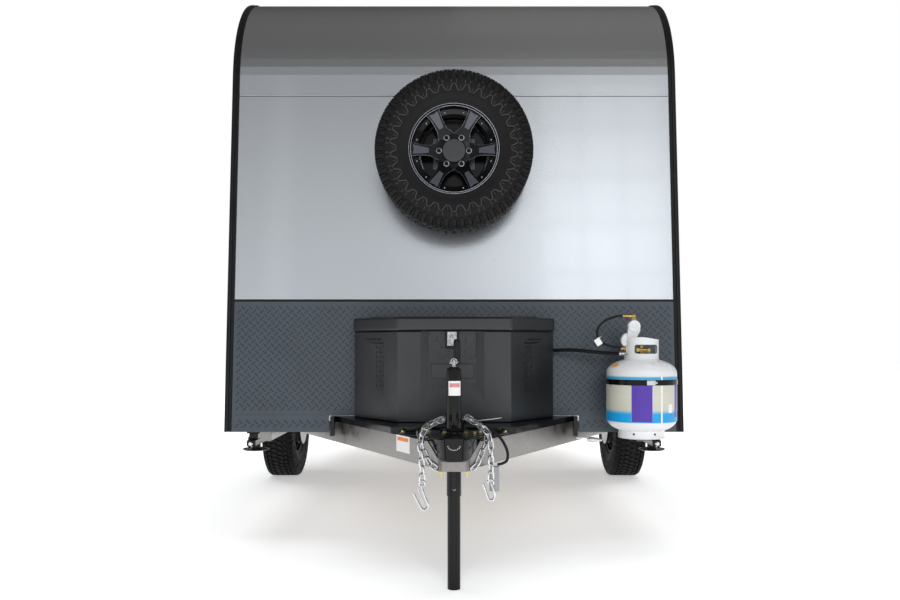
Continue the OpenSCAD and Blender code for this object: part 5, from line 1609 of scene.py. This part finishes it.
# ---------------------------------------------------------------- rear lights, plate and bumper
house, lens, clear_lens = [], [], []
for s in (-1, 1):
    x0, x1 = sorted((s * 0.86, s * 1.0))
    house.append(block("house", (x0, 2.273, 0.9), (x1, 2.283, 1.06), 0.004, 3))
    lens.append(block("lens", (x0 + 0.007, 2.282, 0.962), (x1 - 0.007, 2.297, 1.053), 0.006, 3))
    for k in range(9):
        lens.append(block("rib", (x0 + 0.014, 2.2955, 0.969 + k * 0.0092),
                          (x1 - 0.014, 2.2978, 0.973 + k * 0.0092), 0.0008, 1))
    clear_lens.append(block("reverse", (x0 + 0.007, 2.282, 0.907), (x1 - 0.007, 2.295, 0.957), 0.006, 3))
    for k in range(11):
        clear_lens.append(block("rib", (x0 + 0.013 + k * 0.0108, 2.294, 0.913),
                                (x0 + 0.0165 + k * 0.0108, 2.2962, 0.951), 0.0008, 1))
house.append(block("plate_bracket", (-0.93, 2.273, 0.655), (-0.61, 2.279, 0.835), 0.003, 2))
fix(join("light_housings", house), black_trim, ["tail_lights"], "black_trim")
fix(join("rear_lenses", lens), red_lens, ["tail_lights"], "red_lens")
fix(join("reverse_lenses", clear_lens), white_plastic, ["tail_lights"], "white_plastic")
tag_plate = [block("plate", (-0.92, 2.2785, 0.665), (-0.62, 2.28, 0.825), 0.0006, 1),
             ring("plate_rim", rounded(0.622, 0.918, 0.667, 0.823, 0.014),
                  rounded(0.628, 0.912, 0.673, 0.817, 0.01), -2.28, -2.2812, 0.0004)]
tag_plate[1].data.transform(rear_face(0))
fix(join("blank_plate", tag_plate), white_plastic, slot="white_plastic")
beam = [block("beam", (-1.0, 2.226, 0.469), (1.0, 2.3185, 0.529), 0.006, 3)]
for s in (-1, 1):
    beam.append(block("cap", (s * 0.985 - 0.016, 2.2235, 0.4665), (s * 0.985 + 0.016, 2.32, 0.5315), 0.006,
                      3))
fix(join("bumper_beam", beam), black_steel, ["rear_bumper"], "black_steel")

# ---------------------------------------------------------------- roof vent
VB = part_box("vent_lid")
vx, y0, y1, z0 = VB[1].x, VB[0].y, VB[1].y, VB[0].z
dome = frustum("dome", pane_xy(-vx, vx, y0, y1, z0),
               pane_xy(-vx + 0.03, vx - 0.03, y0 + 0.03, y1 - 0.03, z0 + 0.036), 0.009, 4)
cut(dome, block("t", (-vx + 0.012, y0 + 0.012, z0 - 0.01), (vx - 0.012, y1 - 0.012, z0 + 0.022), 0.0))
lid_parts = [smooth(outward(dome), 35)]
for k in range(5):
    lid_parts.append(block("rib", (-vx + 0.046, y0 + 0.062 + k * 0.062, z0 + 0.034),
                           (vx - 0.046, y0 + 0.076 + k * 0.062, z0 + 0.0388), 0.002, 2))
for x in (-0.14, 0.08):
    lid_parts.append(rod("pin", (x, VB[0].y + 0.004, z0 + 0.005), (x + 0.06, VB[0].y + 0.004, z0 + 0.005),
                         0.0035, 16))
place(join("vent_cover", lid_parts), "vent_lid", white_plastic, ["vent_lid"], "white_plastic")
vent_flange = ring("vent_flange", rounded(-0.235, 0.235, 0.303, 0.773, 0.02),
                   rounded(-0.176, 0.176, 0.362, 0.714, 0.006), 0.0, 0.004, 0.001)
vent_flange.data.transform(Matrix(((1, 0, 0, 0), (0, 0, 1, 0), (0, 1, 0, ROOF_Z - 0.0005), (0, 0, 0, 1))))
fix(outward(vent_flange), white_plastic, slot="white_plastic")

# ---------------------------------------------------------------- inside
G0, G1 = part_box("galley")
kitchen = [block("carcass", (G0.x + 0.022, G0.y, G0.z + 0.06), (G1.x, G1.y, G1.z - 0.03), 0.0015, 1),
           block("plinth", (G0.x + 0.06, G0.y + 0.01, G0.z), (G1.x, G1.y - 0.01, G0.z + 0.06))]
span = (G1.y - G0.y) / 3
for k in range(3):
    a, b = G0.y + k * span + 0.004, G0.y + (k + 1) * span - 0.004
    kitchen.append(block("front", (G0.x + 0.003, a, G0.z + 0.07), (G0.x + 0.022, b, G1.z - 0.215), 0.003,
                         2))
    kitchen.append(block("drawer", (G0.x + 0.003, a, G1.z - 0.207), (G0.x + 0.022, b, G1.z - 0.038), 0.003,
                         2))
fix(join("galley_cabinet", kitchen), laminate, ["galley"], "cabin_board")
top = block("worktop", (G0.x, G0.y, G1.z - 0.03), (G1.x, G1.y, G1.z), 0.003, 2)
cut(top, block("t", (G0.x + 0.08, G0.y + 0.6, G1.z - 0.02), (G1.x - 0.07, G0.y + 0.96, G1.z + 0.05), 0.02,
               3))
fix(smooth(outward(top), 30), black_trim, ["galley"], "cabin_board")
sink = block("sink", (G0.x + 0.078, G0.y + 0.598, G1.z - 0.0295),
             (G1.x - 0.068, G0.y + 0.962, G1.z - 0.0005), 0.012, 3)
cut(sink, block("t", (G0.x + 0.086, G0.y + 0.606, G1.z - 0.0275), (G1.x - 0.076, G0.y + 0.954, G1.z + 0.05),
                0.02, 3))
fronts = [smooth(outward(sink), 30)]
for k in range(3):
    c = G0.y + (k + 0.5) * span
    fronts.append(rod("pull", (G0.x + 0.001, c - 0.05, G1.z - 0.122),
                      (G0.x + 0.001, c + 0.05, G1.z - 0.122), 0.004, 14))
    fronts.append(rod("pull", (G0.x + 0.001, c - 0.05, G1.z - 0.255),
                      (G0.x + 0.001, c + 0.05, G1.z - 0.255), 0.004, 14))
fix(join("galley_steel", fronts), zinc, ["galley"], "zinc_steel")

# Mattress: a tufted pad, pulled in along its sides, with piping and buttons.
M0, M1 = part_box("mattress")
clear()
bpy.ops.mesh.primitive_cube_add(size=1, location=(M0 + M1) / 2)
pad = bpy.context.object
pad.name = "mattress_pad"
pad.scale = (M1 - M0) - Vector((0.008, 0.008, 0.002))
settle(pad)
bevel(pad, 0.03, 4)
bpy.ops.object.mode_set(mode="EDIT")
bpy.ops.mesh.select_all(action="SELECT")
bpy.ops.mesh.subdivide(number_cuts=40)
bpy.ops.object.mode_set(mode="OBJECT")
m = pad.modifiers.new("even", "REMESH")
m.mode, m.voxel_size = "VOXEL", 0.014
pick(pad)
bpy.ops.object.modifier_apply(modifier="even")
mid_z, tall = (M0.z + M1.z) / 2, (M1.z - M0.z) / 2
tufts = [(M0.x + (i + 0.5) * (M1.x - M0.x) / 8,
          M0.y + (j + 0.5) * (M1.y - M0.y) / 5) for i in range(8) for j in range(5)]
for v in pad.data.vertices:
    p = v.co
    edge = min(p.x - M0.x, M1.x - p.x, p.y - M0.y, M1.y - p.y)
    if p.z > mid_z:
        deep = sum(math.exp(-((p.x - tx) ** 2 + (p.y - ty) ** 2) / 0.0035) for tx, ty in tufts)
        p.z -= 0.013 * min(deep, 1) * min(1, max(0, edge) / 0.06) + 0.006 * math.exp(-max(edge, 0) / 0.05)
    waist = 1 - min(1, abs(p.z - mid_z) / tall)
    if edge < 0.03:
        pull = 0.007 * waist * (1 + 0.5 * math.sin(9 * (p.x + p.y)))
        p.x += pull if p.x - M0.x < 0.03 else (-pull if M1.x - p.x < 0.03 else 0)
        p.y += pull if p.y - M0.y < 0.03 else (-pull if M1.y - p.y < 0.03 else 0)
smooth(pad, 180)
pick(pad)
fix(pad, ticking, ["mattress"], "grey_fabric")
piping = []
for z in (M0.z + 0.016, M1.z - 0.022):
    line = [Vector((x, y, z)) for x, y in rounded(M0.x + 0.007, M1.x - 0.007, M0.y + 0.007, M1.y - 0.007,
                                                  0.035, 5)]
    piping.append(round_bar("piping", line + [line[0]], 0.004, 8))
buttons = [lathe("button", [(0, 0), (0.011, 0), (0.013, 0.003), (0.011, 0.006), (0, 0.007)],
                 (tx, ty, M1.z - 0.0155), steps=16) for tx, ty in tufts]
fix(join("mattress_piping", piping + buttons), ticking, ["mattress"], "grey_fabric")
boards = [block("board", (-1.036, -1.2 + k * 0.1524, 0.6108), (1.036, -1.05 + k * 0.1524, 0.6118), 0.0004,
                1) for k in range(14)]
fix(join("floor_planks", boards), wood_floor, slot="floor_board")
